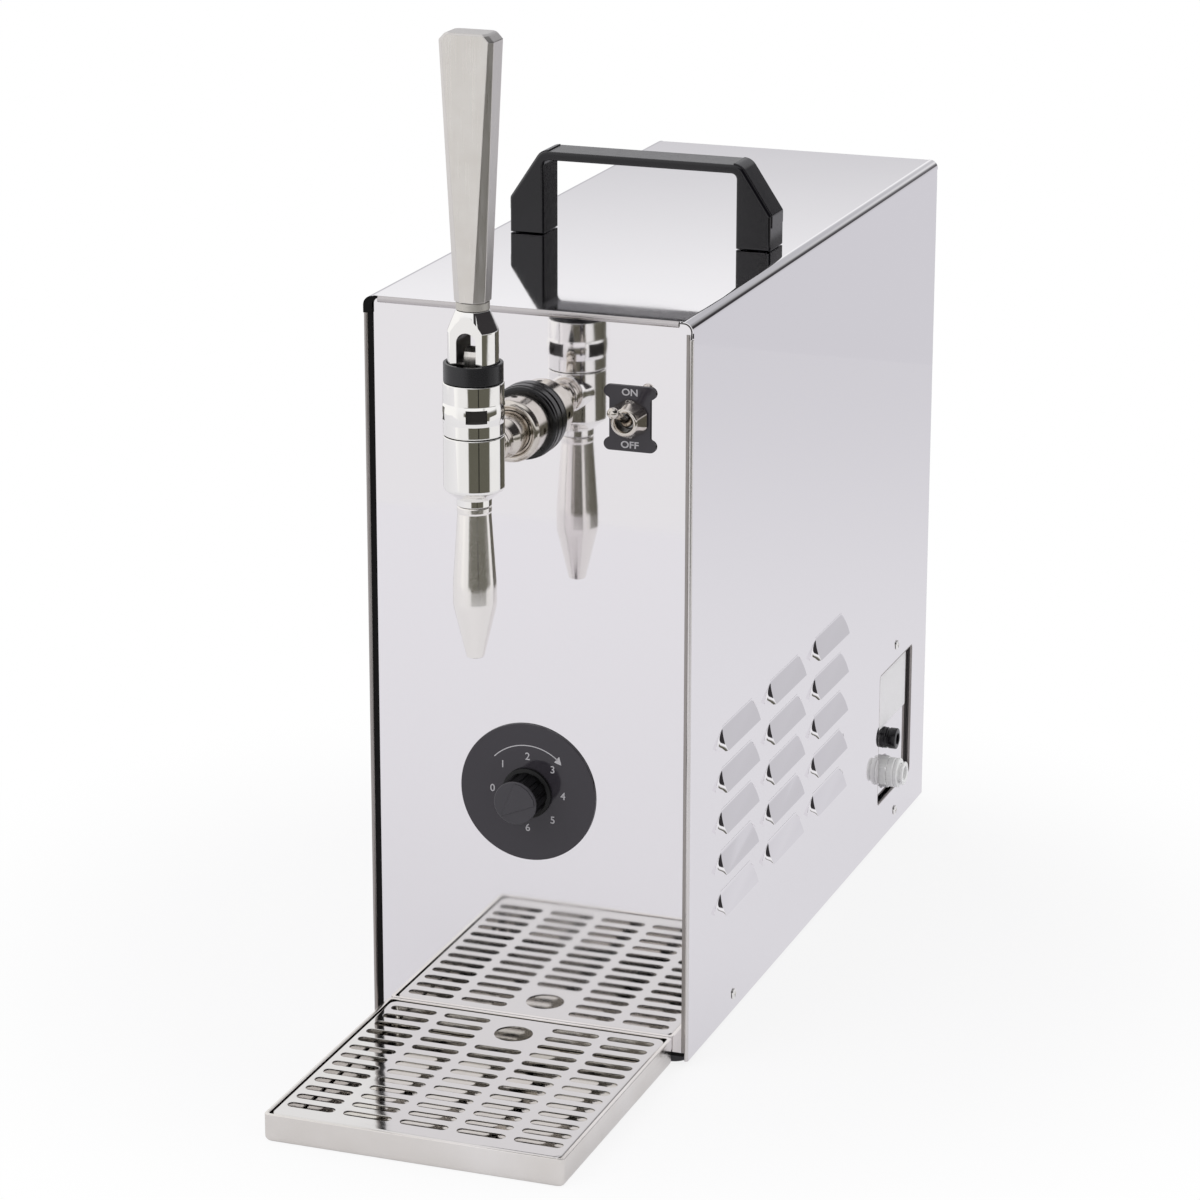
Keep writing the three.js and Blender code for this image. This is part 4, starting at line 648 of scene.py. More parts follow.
def plate(loops, low, high, rounding=0.2, steps=2):
    """A sheet from closed outlines, holes included, from low to high along its own Z."""
    drawing = bpy.data.curves.new("drawing", "CURVE")
    drawing.dimensions = "2D"
    drawing.fill_mode = "BOTH"
    drawing.extrude = (high - low) / 2 - rounding
    drawing.bevel_depth = rounding
    drawing.bevel_resolution = steps
    drawing.offset = -rounding
    for loop in loops:
        spline = drawing.splines.new("POLY")
        spline.points.add(len(loop) - 1)
        for point, (x, y) in zip(spline.points, loop):
            point.co = (x, y, 0, 1)
        spline.use_cyclic_u = True
    shape = merged(solid_of(drawing))
    for vertex in shape.verts:
        vertex.co.z += (low + high) / 2
    return shape


print("corners closer than", SAME_SPOT, "mm become one")

# %% [markdown]
# ## Lofted blocks
#
# Most of what isn't flat sheet is a stack of closed outlines joined by faces, like the ribs
# of a boat: a prism needs two of them, a moulded block with rounded edges needs a few more
# near both ends, each drawn a little further in. The inset keeps every outline at the same
# number of points, so the faces between them stay regular even in tight corners.

# %% Join outlines by faces


def loft(outlines, ends="capped"):
    """Faces through outlines of equal length or single points. The ends are capped, open or joined."""
    shape = bmesh.new()
    rings = [[shape.verts.new(point) for point in outline] for outline in outlines]
    if ends == "capped":
        shape.faces.new(rings[0])
        shape.faces.new(rings[-1])
    for low, high in zip(rings, rings[1:] + (rings[:1] if ends == "joined" else [])):
        for i in range(max(len(low), len(high))):
            j = i + 1
            corners = (low[i % len(low)], low[j % len(low)], high[j % len(high)], high[i % len(high)])
            shape.faces.new(list(dict.fromkeys(corners)))
    return shape


def prism(points, low, high):
    """A closed outline pulled along its own Z, its edges left sharp."""
    return loft([[(x, y, z) for x, y in points] for z in (low, high)])


trial = prism(circle(0, 0, 5, 6), 0, 1)
print("a prism over a hexagon has", len(trial.faces), "faces")
trial.free()

# %% Round a polygon's corners and draw it further in


def eased(corners, radii, steps=5):
    """A polygon with its corners rounded, each by its own radius."""
    points = []
    for i, size in enumerate(radii):
        here = Vector(corners[i])
        before = (Vector(corners[i - 1]) - here).normalized()
        after = (Vector(corners[(i + 1) % len(corners)]) - here).normalized()
        half_angle = before.angle(after) / 2
        middle = here + (before + after).normalized() * size / math.sin(half_angle)
        start = (here + before * size / math.tan(half_angle) - middle).normalized()
        end = (here + after * size / math.tan(half_angle) - middle).normalized()
        points += [tuple(middle + start.slerp(end, k / steps) * size) for k in range(steps + 1)]
    return points


def inset(corners, radii, distance):
    """A polygon with rounded corners, drawn this distance further in."""
    count = len(corners)
    area = sum(corners[i - 1][0] * corners[i][1] - corners[i][0] * corners[i - 1][1] for i in range(count))
    inward = 1 if area > 0 else -1
    moved, sizes = [], []
    for i in range(count):
        here = Vector(corners[i])
        arrive = (here - Vector(corners[i - 1])).normalized()
        leave = (Vector(corners[(i + 1) % count]) - here).normalized()
        first = Vector((-arrive.y, arrive.x)) * inward
        second = Vector((-leave.y, leave.x)) * inward
        moved.append(tuple(here + (first + second) / (1 + first.dot(second)) * distance))
        outside = inward * (arrive.x * leave.y - arrive.y * leave.x) > 0
        sizes.append(max(radii[i] - distance if outside else radii[i] + distance, 0.03))
    return eased(moved, sizes)


SQUARE = [(0, 0), (9, 0), (9, 9), (0, 9)]
print("a rounded square has", len(eased(SQUARE, [1] * 4)), "points")

# %% Build a block with rounded edges


def block(corners, radii, low, high, rounding, steps=4):
    """A solid with a rounded polygon for its outline and rounded long edges."""
    turns = [math.pi / 2 * k / steps for k in range(steps + 1)]
    near = [(rounding * (1 - math.sin(t)), low + rounding * (1 - math.cos(t))) for t in turns]
    far = [(distance, high + low - z) for distance, z in near[::-1]]
    return loft([[(x, y, z) for x, y in inset(corners, radii, distance)] for distance, z in near + far])


trial = block(SQUARE, [1] * 4, 0, 9, 1)
print("a rounded block over it has", len(trial.faces), "faces")
trial.free()

# %% [markdown]
# ## The wrap cover
#
# Top and sides are one sheet, bent over two edges with a radius of 5 mm. The bends and the
# top are one pull of the folded section along the case, so no seam crosses the mirror.
# The sides below are flat plates, because they have the window, the screw holes and a hole
# under each louvre. At both ends the flat sheet stops where the rolled hem begins, and only
# the bends run on to the edge.

# %% Sizes of the case
HALF, TOP, LIFT, DEPTH = 87.5, 393.0, 3.0, 440.0  # half the width, height, gap below, length
SHEET, BEND, OVERLAP = 1.2, 5.0, 0.4
BEND_X, BEND_Z = HALF - BEND, TOP - BEND
HEM_LINE = 1.45  # where the flat sheet ends and the rolled hem begins
WINDOW = (342.0, 410.0, 26.5, 107.0)  # front, rear, bottom, top
SCREWS = {"right_front": (1, 75, 12), "right_rear": (1, 379, 12), "right_window": (1, 376, 116),
          "left_front": (-1, 75, 12), "left_rear": (-1, 379, 12)}
LOUVRE_LENGTH, LOUVRE_HEIGHT, LOUVRE_RISE, LOUVRE_CORNER = 72.0, 10.9, 4.4, 12.0
SCREW_HOLE = 1.7  # radius
louvre_spots = [(40 + 80.5 * column, 168 - 22.7 * row) for column in range(3) for row in range(5)]
print("louvres on each side:", len(louvre_spots))

# %% Fold the sheet


def louvre_hole(y, z):
    low, high, end = z - LOUVRE_HEIGHT + 0.5, z - 0.4, y + LOUVRE_LENGTH
    return [(y + 6.5, low), (end - 6.5, low), (end - LOUVRE_CORNER, high), (y + LOUVRE_CORNER, high)]


def side_plate(side):
    front, rear, ceiling = HEM_LINE, DEPTH - HEM_LINE, BEND_Z - OVERLAP
    loops = [[(front, LIFT), (rear, LIFT), (rear, ceiling), (front, ceiling)]]
    loops += [louvre_hole(y, z) for y, z in louvre_spots]
    loops += [circle(y, z, SCREW_HOLE, 20) for where, y, z in SCREWS.values() if where == side]
    if side > 0:
        loops.append(rounded(*WINDOW, 3.0, 8))
    return put(plate(loops, HALF - SHEET, HALF, 0), ways=(Y, Z, X * side))


def fold(inwards):
    """The right bend's line from the side plate to the top, this far inside the surface."""
    bend = arc(BEND_X, BEND_Z, BEND - inwards, 0, 90, 20)
    return [(HALF - inwards, BEND_Z - OVERLAP), *bend, (BEND_X - OVERLAP, TOP - inwards)]


def both_bends(line):
    return line + [(-x, z) for x, z in line[::-1]]


folded = both_bends(fold(0)) + both_bends(fold(SHEET))[::-1]
cover = [side_plate(1), side_plate(-1), put(prism(folded, HEM_LINE, DEPTH - HEM_LINE), ways=ON_FRONT)]
for side in (1, -1):
    for low, high in ((0.25, HEM_LINE), (DEPTH - HEM_LINE, DEPTH - 0.25)):
        cover.append(put(prism(fold(0) + fold(SHEET)[::-1], low, high), ways=(X * side, Z, Y)))
print("shapes of the cover so far:", len(cover))

# %% [markdown]
# ## The louvres
#
# A louvre is pressed out of the sheet: its flat face slopes away from the case, both ends
# round over and run down to the sheet, and its lower edge stays open for the air. The dark
# wedge at its front end is that rounded end, which mirrors the dark wall. Each louvre is a
# small skin: one sloping face, a curved patch at both ends and a narrow flange that lies on
# the sheet. A patch is drawn in strips from the edge of the face (0) out to its outline on
# the sheet (1), and its height falls along each strip by a pressed profile: gently in the
# top strip, steeply in the bottom one. The skin then gets its thickness, which is a little
# less than the sheet's, because pressing stretches the metal.

# %% Draw the rounded end of a louvre
PROUD = 0.05  # the skin lies this far outside the flat sheet
STRETCHED = 0.9  # thickness of the pressed sheet
PROFILE = ((0, 1.0, 1.0), (0.1, 0.93, 0.93), (0.3, 0.72, 0.64), (0.5, 0.48, 0.34), (0.65, 0.28, 0.14),
           (0.82, 0.10, 0.04), (1, 0, 0))  # share of the way out, height at the top, at the bottom
FACE_EDGE = ((LOUVRE_CORNER, LOUVRE_HEIGHT), (7.4, 6.6), (9.5, 0))
ON_SHEET = ((LOUVRE_CORNER, LOUVRE_HEIGHT), (5.4, 8.8), (1.0, 5.0), (1.9, 0.7))


def along_curve(controls, t):
    """A point on the Bezier curve through these control points."""
    controls = [Vector(control) for control in controls]
    while len(controls) > 1:
        controls = [a.lerp(b, t) for a, b in zip(controls, controls[1:])]
    return controls[0]


patch = []
for s in [strip / 7 for strip in range(8)]:
    near, far = along_curve(FACE_EDGE, s), along_curve(ON_SHEET, s)
    tall = LOUVRE_RISE * (1 - near.y / LOUVRE_HEIGHT)
    patch.append([(*near.lerp(far, t), PROUD + tall * (gentle + (steep - gentle) * s ** 2))
                  for t, gentle, steep in PROFILE])
print("points of a patch:", sum(len(row) for row in patch))

# %% Press the louvres


def louvre(side, y, z):
    skin = bmesh.new()
    edges = []
    for flip in (False, True):
        grid = []
        for row in patch:
            spots = [(LOUVRE_LENGTH - along if flip else along, up, out) for along, up, out in row]
            grid.append([skin.verts.new((y + along, z - LOUVRE_HEIGHT + up, out)) for along, up, out in
                         (spots if grid else spots[:1])])  # the top strip begins in one point
        for upper, lower in zip(grid, grid[1:]):
            for i in range(len(lower) - 1):
                above_it = [upper[min(k, len(upper) - 1)] for k in (i, i + 1)]
                corners = (above_it[0], lower[i], lower[i + 1], above_it[1])
                skin.faces.new(list(dict.fromkeys(corners)))
        edges.append([row[0] for row in grid])
    near_edge, far_edge = edges
    skin.faces.new(near_edge + far_edge[::-1])
    ends = (LOUVRE_LENGTH - LOUVRE_CORNER + 0.5, LOUVRE_CORNER - 0.5)
    flange = [skin.verts.new((y + along, z + 1.1, PROUD)) for along in ends]
    skin.faces.new((near_edge[0], far_edge[0], *flange))
    bmesh.ops.recalc_face_normals(skin, faces=skin.faces)
    if sum(face.normal.z * face.calc_area() for face in skin.faces) < 0:
        bmesh.ops.reverse_faces(skin, faces=skin.faces)
    bmesh.ops.solidify(skin, geom=skin.faces[:], thickness=STRETCHED)
    return put(skin, (side * HALF, 0, 0), (Y, Z, X * side))


cover += [louvre(side, y, z) for side in (1, -1) for y, z in louvre_spots]
piece("wrap_cover_sheet", gather(*cover), mirror, "wrap_cover")

# %% [markdown]
# ## The rolled hems
#
# The cut edges at the front and the rear are rolled inwards, so that nobody is cut by
# them. From the front a hem is a slim half-round bead along each straight edge, and it
# stops short of the bent corners, where sheet can't be rolled. The rolled surface is duller
# than the sheet. The left one is also in shade and the top one mirrors a greyer part of the
# room, so both get a greyer colour of their own: painted shade on the left, a painted
# reflection on top.

# %% Roll the hems
HEM_TALL = 1.4
HEM_END = 384.2  # height at which the upright hems stop
HEM_CORNER = 7.6  # the same for the top one, from the side of the case
HEM_ROUND = 0.25  # rounding at both ends of a hem


def hem(length, wide):
    """A bead with a half-round front, its width along X, its length along Z."""
    steps = [math.pi * i / 14 for i in range(15)]
    section = [(wide / 2 - wide / 2 * math.cos(t), HEM_LINE - HEM_TALL * math.sin(t)) for t in steps]
    bead = prism(section + [(wide, HEM_LINE + 0.04), (0, HEM_LINE + 0.04)], 0, length)
    ends = [edge for edge in bead.edges if abs(edge.verts[0].co.z - edge.verts[1].co.z) < 1e-6]
    bmesh.ops.bevel(bead, geom=ends, offset=HEM_ROUND, segments=2, profile=0.5, affect="EDGES")
    return bead


def hems(y, inwards, widths):
    """The left, the right and the top hem of one end of the case."""
    lengths = (HEM_END - LIFT, HEM_END - LIFT, 2 * (HALF - HEM_CORNER))
    spots = ((-HALF, y, LIFT), (HALF, y, LIFT), (-HALF + HEM_CORNER, y, TOP))
    ways = ((X, inwards, Z), (-X, inwards, Z), (-Z, inwards, X))
    return [put(hem(length, wide), spot, way)
            for length, wide, spot, way in zip(lengths, widths, spots, ways)]


names, finishes = ("left", "right", "top"), (hem_shade, hem_steel, hem_reflection_grey)
for name, finish, bead in zip(names, finishes, hems(0, Y, (2.4, 2.1, 3.3))):
    piece(f"front_hem_{name}", bead, finish, crease=40)
piece("rear_hems", gather(*hems(DEPTH, -Y, (3.3, 3.3, 3.3))), hem_steel, crease=40)

# %% [markdown]
# ## The shadow gap
#
# The front panel sits a little behind the edge of the cover. On the left the camera looks
# straight into the gap between the two, where there is only shade: black strips paint it as
# a black line down that edge and a black comma round the corner. On the right a thin grey
# strip paints the shade in the gap. A narrow black strip paints the shade in the gap under
# the panel. The panel fills the right corner, where the cut edge of the bend shows as a dark
# line of painted shade.

# %% Lay the painted shade in the gaps round the front panel


def strip(low_x, high_x, low_z, high_z, near, far, rounding, steps, corner=0.2):
    """A narrow bar with rounded edges."""
    corners = [(low_x, low_z), (high_x, low_z), (high_x, high_z), (low_x, high_z)]
    return block(corners, [corner] * 4, near, far, rounding, steps)


comma = [(-HALF + 0.05, HEM_END), *arc(-BEND_X, BEND_Z, BEND - 0.05, 180, 90, 12), (-79.4, TOP - 0.05),
         (-80.6, TOP - 0.9), *arc(-79.6, 388.6, 3.1, 110, 180, 8), (-82.7, HEM_END)]
panel_corner = [*arc(BEND_X, BEND_Z, BEND - SHEET + 0.1, 0, 90, 10), (79, 391.8), (79, 384), (86.3, 384)]
bend_edge = [(HALF - 0.45, HEM_END + 0.3), *arc(BEND_X, BEND_Z, BEND - 0.45, 0, 90, 12),
             (80.2, TOP - 0.55), (80.2, TOP - 1.0),
             *arc(BEND_X, BEND_Z, BEND - 1.05, 90, 0, 12), (HALF - 1.25, HEM_END + 0.3)]
for name, shape, finish in (
        # Painted shade: the black strips and the grey right strip stand for the shade in the gaps.
        ("corner_gap_shade", prism(comma, 0.04, 0.24), painted_gap_shade),
        ("left_gap_shade", strip(-85.3, -82.5, 7.2, 386.5, 0.9, 1.48, 0.15, 2), painted_gap_shade),
        ("right_gap_shade", strip(83.8, 85.6, 7.2, 386.6, 0.8, 1.48, 0.4, 3), hem_shade),
        ("bottom_gap_shade", strip(-85.5, 85.5, 5.0, 6.9, 1.3, 2.9, 0.3, 2, 0.3), painted_gap_shade),
        ("panel_corner", prism(panel_corner, 1.25, 1.48), mirror),
        ("bend_cut_edge", prism(bend_edge, 0.05, 0.24), cut_edge)):
    piece(name, put(shape, ways=ON_FRONT), finish)

# %% [markdown]
# ## The carrying handle
#
# A black moulded bridge with chamfered shoulders. Seen from the front it is one flat
# outline, so it is a lofted block, 23 mm deep, with its long edges well rounded. A narrower
# end cap lies over each shoulder, a hair proud of the bridge, and its edge draws the fine
# seam that the real handle shows.

# %% Mould the handle and its end caps
HANDLE_FRONT, HANDLE_DEEP, HANDLE_BASE = 166.0, 23.0, 393.3
bridge = block([(-73, 0), (-73, 18.5), (-55.5, 44.7), (55.5, 44.7), (73, 18.5), (73, 0), (54, 0), (54, 40),
                (-54, 40), (-54, 0)], [0.5, 2.5, 7, 7, 2.5, 0.5, 0.5, 3, 3, 0.5], 0, HANDLE_DEEP, 1.5, 5)
piece("carry_handle_bridge", put(bridge, (0, HANDLE_FRONT, HANDLE_BASE), ON_FRONT), moulded, "carry_handle",
      crease=50)
for side, name in ((-1, "left"), (1, "right")):
    cap = block([(73.6, 12), (73.6, 18.7), (55.9, 45.3), (52, 45.3), (52, 43.4), (54.9, 43.4), (71.8, 18.2),
                 (71.8, 12)], [0.5, 2.9, 7.5, 0.5, 0.1, 5.7, 1.1, 0.1], 0, HANDLE_DEEP - 4, 0.55)
    put(cap, (0, HANDLE_FRONT + 2, HANDLE_BASE), (X * side, Z, Y))
    piece(f"handle_end_cap_{name}", cap, moulded, f"handle_cap_{name}", crease=50)

# %% [markdown]
# ## Turned parts
#
# Most of the tap comes off a lathe, so it is drawn as half a section and spun. Real turned
# edges are never sharp: each corner of a section may carry a small radius, and `turned`
# rounds it before spinning. Where a part also has spanner flats, the radius is cut back to
# the flat, angle by angle, which gives true arcs where flats meet cones.

# %% The lathe


def ring_section(points, steps=4):
    """Rounds the corners of a half section. A point is (radius, height) or adds a fillet."""
    path = []
    for i, (radius, height, *fillet) in enumerate(points):
        here = Vector((radius, height))
        if not fillet or i in (0, len(points) - 1):
            path.append(tuple(here))
            continue
        before, after = Vector(points[i - 1][:2]) - here, Vector(points[i + 1][:2]) - here
        reach = min(fillet[0], before.length * 0.49, after.length * 0.49)
        start, end = here + before.normalized() * reach, here + after.normalized() * reach
        for t in [k / steps for k in range(steps + 1)]:
            path.append(tuple(start * (1 - t) ** 2 + here * 2 * t * (1 - t) + end * t ** 2))
    return path


def flat_ring(radius, steps, flats, across, roundness=0.0):
    """A circle cut back to a polygon with this many flats; roundness 1 keeps the circle."""
    ring = []
    for angle in [2 * math.pi * k / steps for k in range(steps)]:
        sector = (angle + math.pi / flats) % (2 * math.pi / flats) - math.pi / flats
        flat = min(radius, across / 2 / math.cos(sector))
        size = flat * (1 - roundness) + radius * roundness
        ring.append((size * math.cos(angle), size * math.sin(angle)))
    return ring


def turned(points, steps=96, flats=0, across=0.0):
    """A half section spun round Z. With flats it is cut to a prism of that many sides."""
    rings = []
    for radius, height in ring_section(points):
        ring = flat_ring(radius, steps, flats, across) if flats else circle(0, 0, radius, steps)
        rings.append([(x, y, height) for x, y in (ring if radius > 1e-6 else [(0, 0)])])
    return merged(loft(rings, "open"))


print("a 4-point section becomes", len(ring_section([(0, 0), (5, 0, 1), (5, 5, 1), (0, 5)])), "points")

# %% [markdown]
# ## Cutting and easing
#
# A few pieces are more than turned: the yoke is slotted, the bonnet is notched, the coupling
# nut is drilled and the screws have a cross in their heads. Those cuts are exact booleans
# between two closed shapes, made once and kept as a plain mesh. Sharp edges can be eased.

# %% The saw


def cut(base, tool):
    """Cuts a tool's shape out of a base."""
    holders = []
    for shape in (base, tool):
        bmesh.ops.recalc_face_normals(shape, faces=shape.faces)
        holders.append(add("shape", bpy.data.meshes.new("shape")))
        shape.to_mesh(holders[-1].data)
        shape.free()
    step = holders[0].modifiers.new("cut", "BOOLEAN")
    step.object, step.operation, step.solver = holders[1], "DIFFERENCE", "EXACT"
    result = bmesh.new()
    result.from_object(holders[0], bpy.context.evaluated_depsgraph_get())
    for holder in holders:
        mesh = holder.data
        bpy.data.objects.remove(holder)
        bpy.data.meshes.remove(mesh)
    return result


def brick(low, high):
    """A plain block between two corners, used as a cutting tool."""
    shape = bmesh.new()
    bmesh.ops.create_cube(shape, size=1)
    for vertex in shape.verts:
        vertex.co = [(low[i] + high[i]) / 2 + vertex.co[i] * (high[i] - low[i]) for i in range(3)]
    return shape


trial = cut(brick((0, 0, 0), (2, 2, 2)), brick((1, 1, 1), (3, 3, 3)))
print("a cube without one of its corners has", len(trial.faces), "faces")
trial.free()

# %% The turntable and the file


def swung(shape, angle, axis="Z"):
    """The shape turned round an axis, in degrees."""
    bmesh.ops.rotate(shape, verts=shape.verts, matrix=Matrix.Rotation(math.radians(angle), 3, axis))
    return shape


def ease(shape, width, angle, segments):
    """Rounds every edge that is sharper than angle."""
    bmesh.ops.recalc_face_normals(shape, faces=shape.faces)
    sharp = [e for e in shape.edges if len(e.link_faces) == 2
             and e.calc_face_angle(0) > math.radians(angle)]
    bmesh.ops.bevel(shape, geom=sharp, offset=width, segments=segments, profile=0.5,
                    affect="EDGES", clamp_overlap=True)
    return shape


trial = ease(brick((0, 0, 0), (2, 2, 2)), 0.2, 30, 2)
print("a cube with eased edges has", len(trial.faces), "faces")
trial.free()

# %% [markdown]
# ## The tap body
#
# The lower body is a polished barrel with a cone under it and a small neck that carries the
# spout. A boss on its rear side takes the shank. Where boss and barrel meet, the casting is
# faired, so the boss flares before it enters the barrel.

# %% Turn the tap body
TAP_Y, SHANK_Z = -70.0, 336.0
TAP, SHANK = (0, TAP_Y, 0), (0, 0, SHANK_Z)
barrel = turned([(0, 311.3), (8.6, 311.3, 0.3), (8.6, 314.7, 0.2), (15, 319.8, 1.2), (15, 346.4, 0.45),
                 (9, 346.4), (9, 323.0), (0, 323.0)])
boss = turned([(0, 6), (13.2, 6), (12.2, 9.6, 2), (9.9, 13.4, 1.2), (9.5, 17.0, 0.4), (0, 17.0)])
boss = put(boss, (0, TAP_Y, SHANK_Z), BACKWARDS)
piece("tap_body_barrel", gather(put(barrel, TAP), boss), polished, "tap_body")

# %% [markdown]
# ## The bonnet
#
# The upper half of the tap screws onto the lower one. A slightly bulging band around it has
# four deep notches for the spanner. Their floors and sides were never polished, so those
# faces get a dark finish of their own, picked by their distance from the tap's axis.

# %% Turn the bonnet and cut its notches
NOTCH_LOW, NOTCH_HIGH, NOTCH_TURN = 355.0, 361.6, -63
bulge = [(15.55 - 0.023 * (z - 358.1) ** 2, z) for z in [353.3 + 1.2 * k for k in range(9)]]
bonnet = turned([(0, 346.7), (14.4, 346.7), (15, 347.3, 0.3), (15, 353.1, 0.1), *bulge,
                 (15, 363.1, 0.1), (15, 372.9, 0.5), (9, 372.9), (9, 350), (0, 350)])
for quarter in range(4):
    notch = brick((12.9, -5.2, NOTCH_LOW), (18, 5.2, NOTCH_HIGH))
    bonnet = cut(bonnet, swung(notch, NOTCH_TURN + 90 * quarter))
bonnet = piece("tap_bonnet_notched", put(bonnet, TAP), polished, "tap_bonnet", crease=25)


def in_notch(middle, normal):
    upright = abs(normal.z) < 0.5 and NOTCH_LOW < middle.z < NOTCH_HIGH + 0.1
    return upright and 12 < (middle - Vector(TAP)).xy.length < 14.8


second_finish(bonnet, oxide, in_notch)

# %% [markdown]
# ## The black collar
#
# A plain black ring closes the tap around the foot of the lever. It is open at the top, so
# that the lever can tilt.

# %% Turn the collar
collar = turned([(0, 373.2), (14.6, 373.2, 0.4), (14.6, 382.5, 0.5), (12.9, 382.5, 0.4),
                 (12.9, 375.2, 0.3), (0, 375.2)])
piece("lever_collar_ring", put(collar, TAP), collar_black, "lever_collar")

# %% [markdown]
# ## The lever yoke
#
# The yoke is a round bar with a cone on top, milled flat at the front and the rear and
# slotted from below with an arched slot, in which the valve's blade moves. Where the flat
# runs into the cone it leaves the rounded outline that shows on the real one. The inside of
# the slot is as dark as the notches of the bonnet.

# %% Mill the yoke
YOKE_FLAT = 9.4  # from the axis to the milled flats
yoke = turned([(0, 376.5), (9.5, 376.5), (12.5, 379.5, 0.3), (12.5, 398.3, 0.5), (8.25, 408.2, 0.3),
               (0, 408.2)])
for near, far in ((-20, -YOKE_FLAT), (YOKE_FLAT, 20)):
    yoke = cut(yoke, brick((-20, near, 370), (20, far, 410)))
arch = [(-5, 370), (5, 370), *arc(0, 393.3, 5, 0, 180, 16)]
yoke = cut(yoke, loft([[(x, y, z) for x, z in arch] for y in (-20, 20)]))
yoke = piece("lever_yoke_milled", put(ease(merged(yoke), 0.3, 40, 2), TAP), polished, "lever_yoke",
             "lever", crease=30)


def in_slot(middle, normal):
    inside = abs(middle.x) < 5.1 and abs(middle.y - TAP_Y) < YOKE_FLAT - 0.2 and middle.z < 398.5
    return inside and abs(normal.y) < 0.5


second_finish(yoke, oxide, in_slot)

# %% [markdown]
# ## The ferrule and the paddle
#
# A narrow blasted ring sits between yoke and handle. The paddle handle is a long flat bar
# that widens upwards, with chamfered edges that grow narrower on the way and a top with
# clipped corners. It is built from four cross-sections, like the ribs of a boat. Its wide
# front and rear faces are brushed, the chamfers and the narrow sides are ground smooth.

# %% Turn the ferrule
ferrule = turned([(0, 408.5), (8.2, 408.5, 0.3), (8.2, 412.3, 0.3), (0, 412.3)])
piece("lever_ferrule_blasted", put(ferrule, TAP), blasted, "lever_ferrule", "lever")

# %% Build the paddle from its ribs
WIDE_FACE = 0.985  # how squarely a brushed face looks to the front or the rear


def rib(width, depth, edge, z):
    """An eight-sided cross-section: a rectangle with its four corners clipped."""
    w, d = width / 2, depth / 2
    half = [(w - edge, -d, z), (w, -d + edge, z), (w, d - edge, z), (w - edge, d, z)]
    return half + [(-x, -y, z) for x, y, z in half]


ribs = [rib(16, 17, 4.3, 412.6), rib(28, 16, 2, 538), rib(22.4, 16, 2, 541), rib(20.4, 14, 1.6, 541.6)]
paddle = ease(loft(ribs), 0.35, 12, 3)
paddle = piece("paddle_handle", put(paddle, TAP), ground, "tap_handle", "lever", crease=60)
second_finish(paddle, brushed, lambda middle, normal: abs(normal.y) > WIDE_FACE)

# %% [markdown]
# ## The spout
#
# The long stout spout widens a little downwards and ends in a cone with a fine mouth. It is
# turned, satin all over, and has a fine step under its upper ring. Its section is closed,
# so the bore is turned with it.

# %% Turn the spout
spout = turned([(5.8, 311), (8.1, 311, 0.3), (8.5, 310.5, 0.2), (8.5, 308.2, 0.3), (8.3, 307.6, 0.3),
                (10.8, 271, 2), (10.8, 260.7, 2.2), (4.4, 234.3, 0.6), (4.2, 234, 0.1), (3.1, 234, 0.2),
                (3.1, 299), (5.8, 299), (5.8, 311)])
piece("spout_nozzle_turned", put(spout, TAP), satin, "spout_nozzle")

# %% [markdown]
# ## The shank, its coupling nut and the rubber ring
#
# The tap hangs on a shank that goes through the panel. From the tap backwards come a neck
# with a bead, a flared barrel, the big coupling nut with a rounded front edge, a dished
# face and four small spanner holes, and the rubber ring that seals against the panel. Their
# axis runs along the case, so they are turned on the same lathe and laid over.

# %% Turn the shank
shank = turned([(0, -52.7), (8.0, -52.7, 0.3), (8.0, -47.5, 0.3), (9.3, -46.9, 0.4), (9.3, -44.6, 0.4),
                (8.2, -44.0, 0.3), (8.2, -38.6, 0.8), (10.8, -35.0, 0.8), (10.8, 30, 0.5),
                (4, 30), (4, -40), (0, -40)])
piece("tap_shank_turned", put(shank, SHANK, BACKWARDS), soft_steel, "tap_shank")

# %% Turn the coupling nut and drill its spanner holes
nut = turned([(11.1, -22.6), (12.1, -22.9, 0.2), (12.6, -24, 0.3), (13.4, -24.3, 0.3), (14.6, -24, 0.9),
              (16, -22.2, 1), (16, -8.8, 0.3), (15.4, -7.3, 0.2), (11.1, -7.3), (11.1, -22.6)])
for quarter in range(4):
    hole = turned([(0, 13.4), (1.6, 13.4), (1.6, 18), (0, 18)], steps=24)
    hole = swung(swung(hole, 90, "Y"), 90 * quarter)
    bmesh.ops.translate(hole, verts=hole.verts, vec=(0, 0, -15.8))
    nut = cut(nut, hole)
piece("shank_nut_round", put(nut, SHANK, BACKWARDS), soft_steel, "shank_coupling_nut", crease=25)

# %% Mould the rubber ring
ring = turned([(11.1, -7.0), (17.6, -7.0, 0.5), (18.6, -6.2, 0.6), (18.7, -4.6, 0.3), (18.4, -4.3, 0.2),
               (18.4, -3.9, 0.2), (19, -3.5, 0.4), (19, 0.7, 0.5), (18.5, 1.2), (11.1, 1.2), (11.1, -7.0)],
              steps=160)
piece("panel_rubber_ring", put(ring, SHANK, BACKWARDS), rubber, "shank_rubber_ring")

# %% [markdown]
# ## The drip tray
#
# The tray is a shallow pan folded from sheet: its long lower edges are bent with a radius
# of 3 mm and its corners are closed and ground nearly sharp. It is a stack of rounded
# rectangles that climb the outside wall, cross the folded rim and go down inside again.
# The inside was never brushed: it is smoother and mirrors the grid above it.

# %% Fold the pan
PAN_X, PAN_Y, PAN_MIDDLE = 79, 80, 1.2 - 80.0  # half width, half length, middle along the case
PAN_WALL, PAN_TOP = 1, 14.7


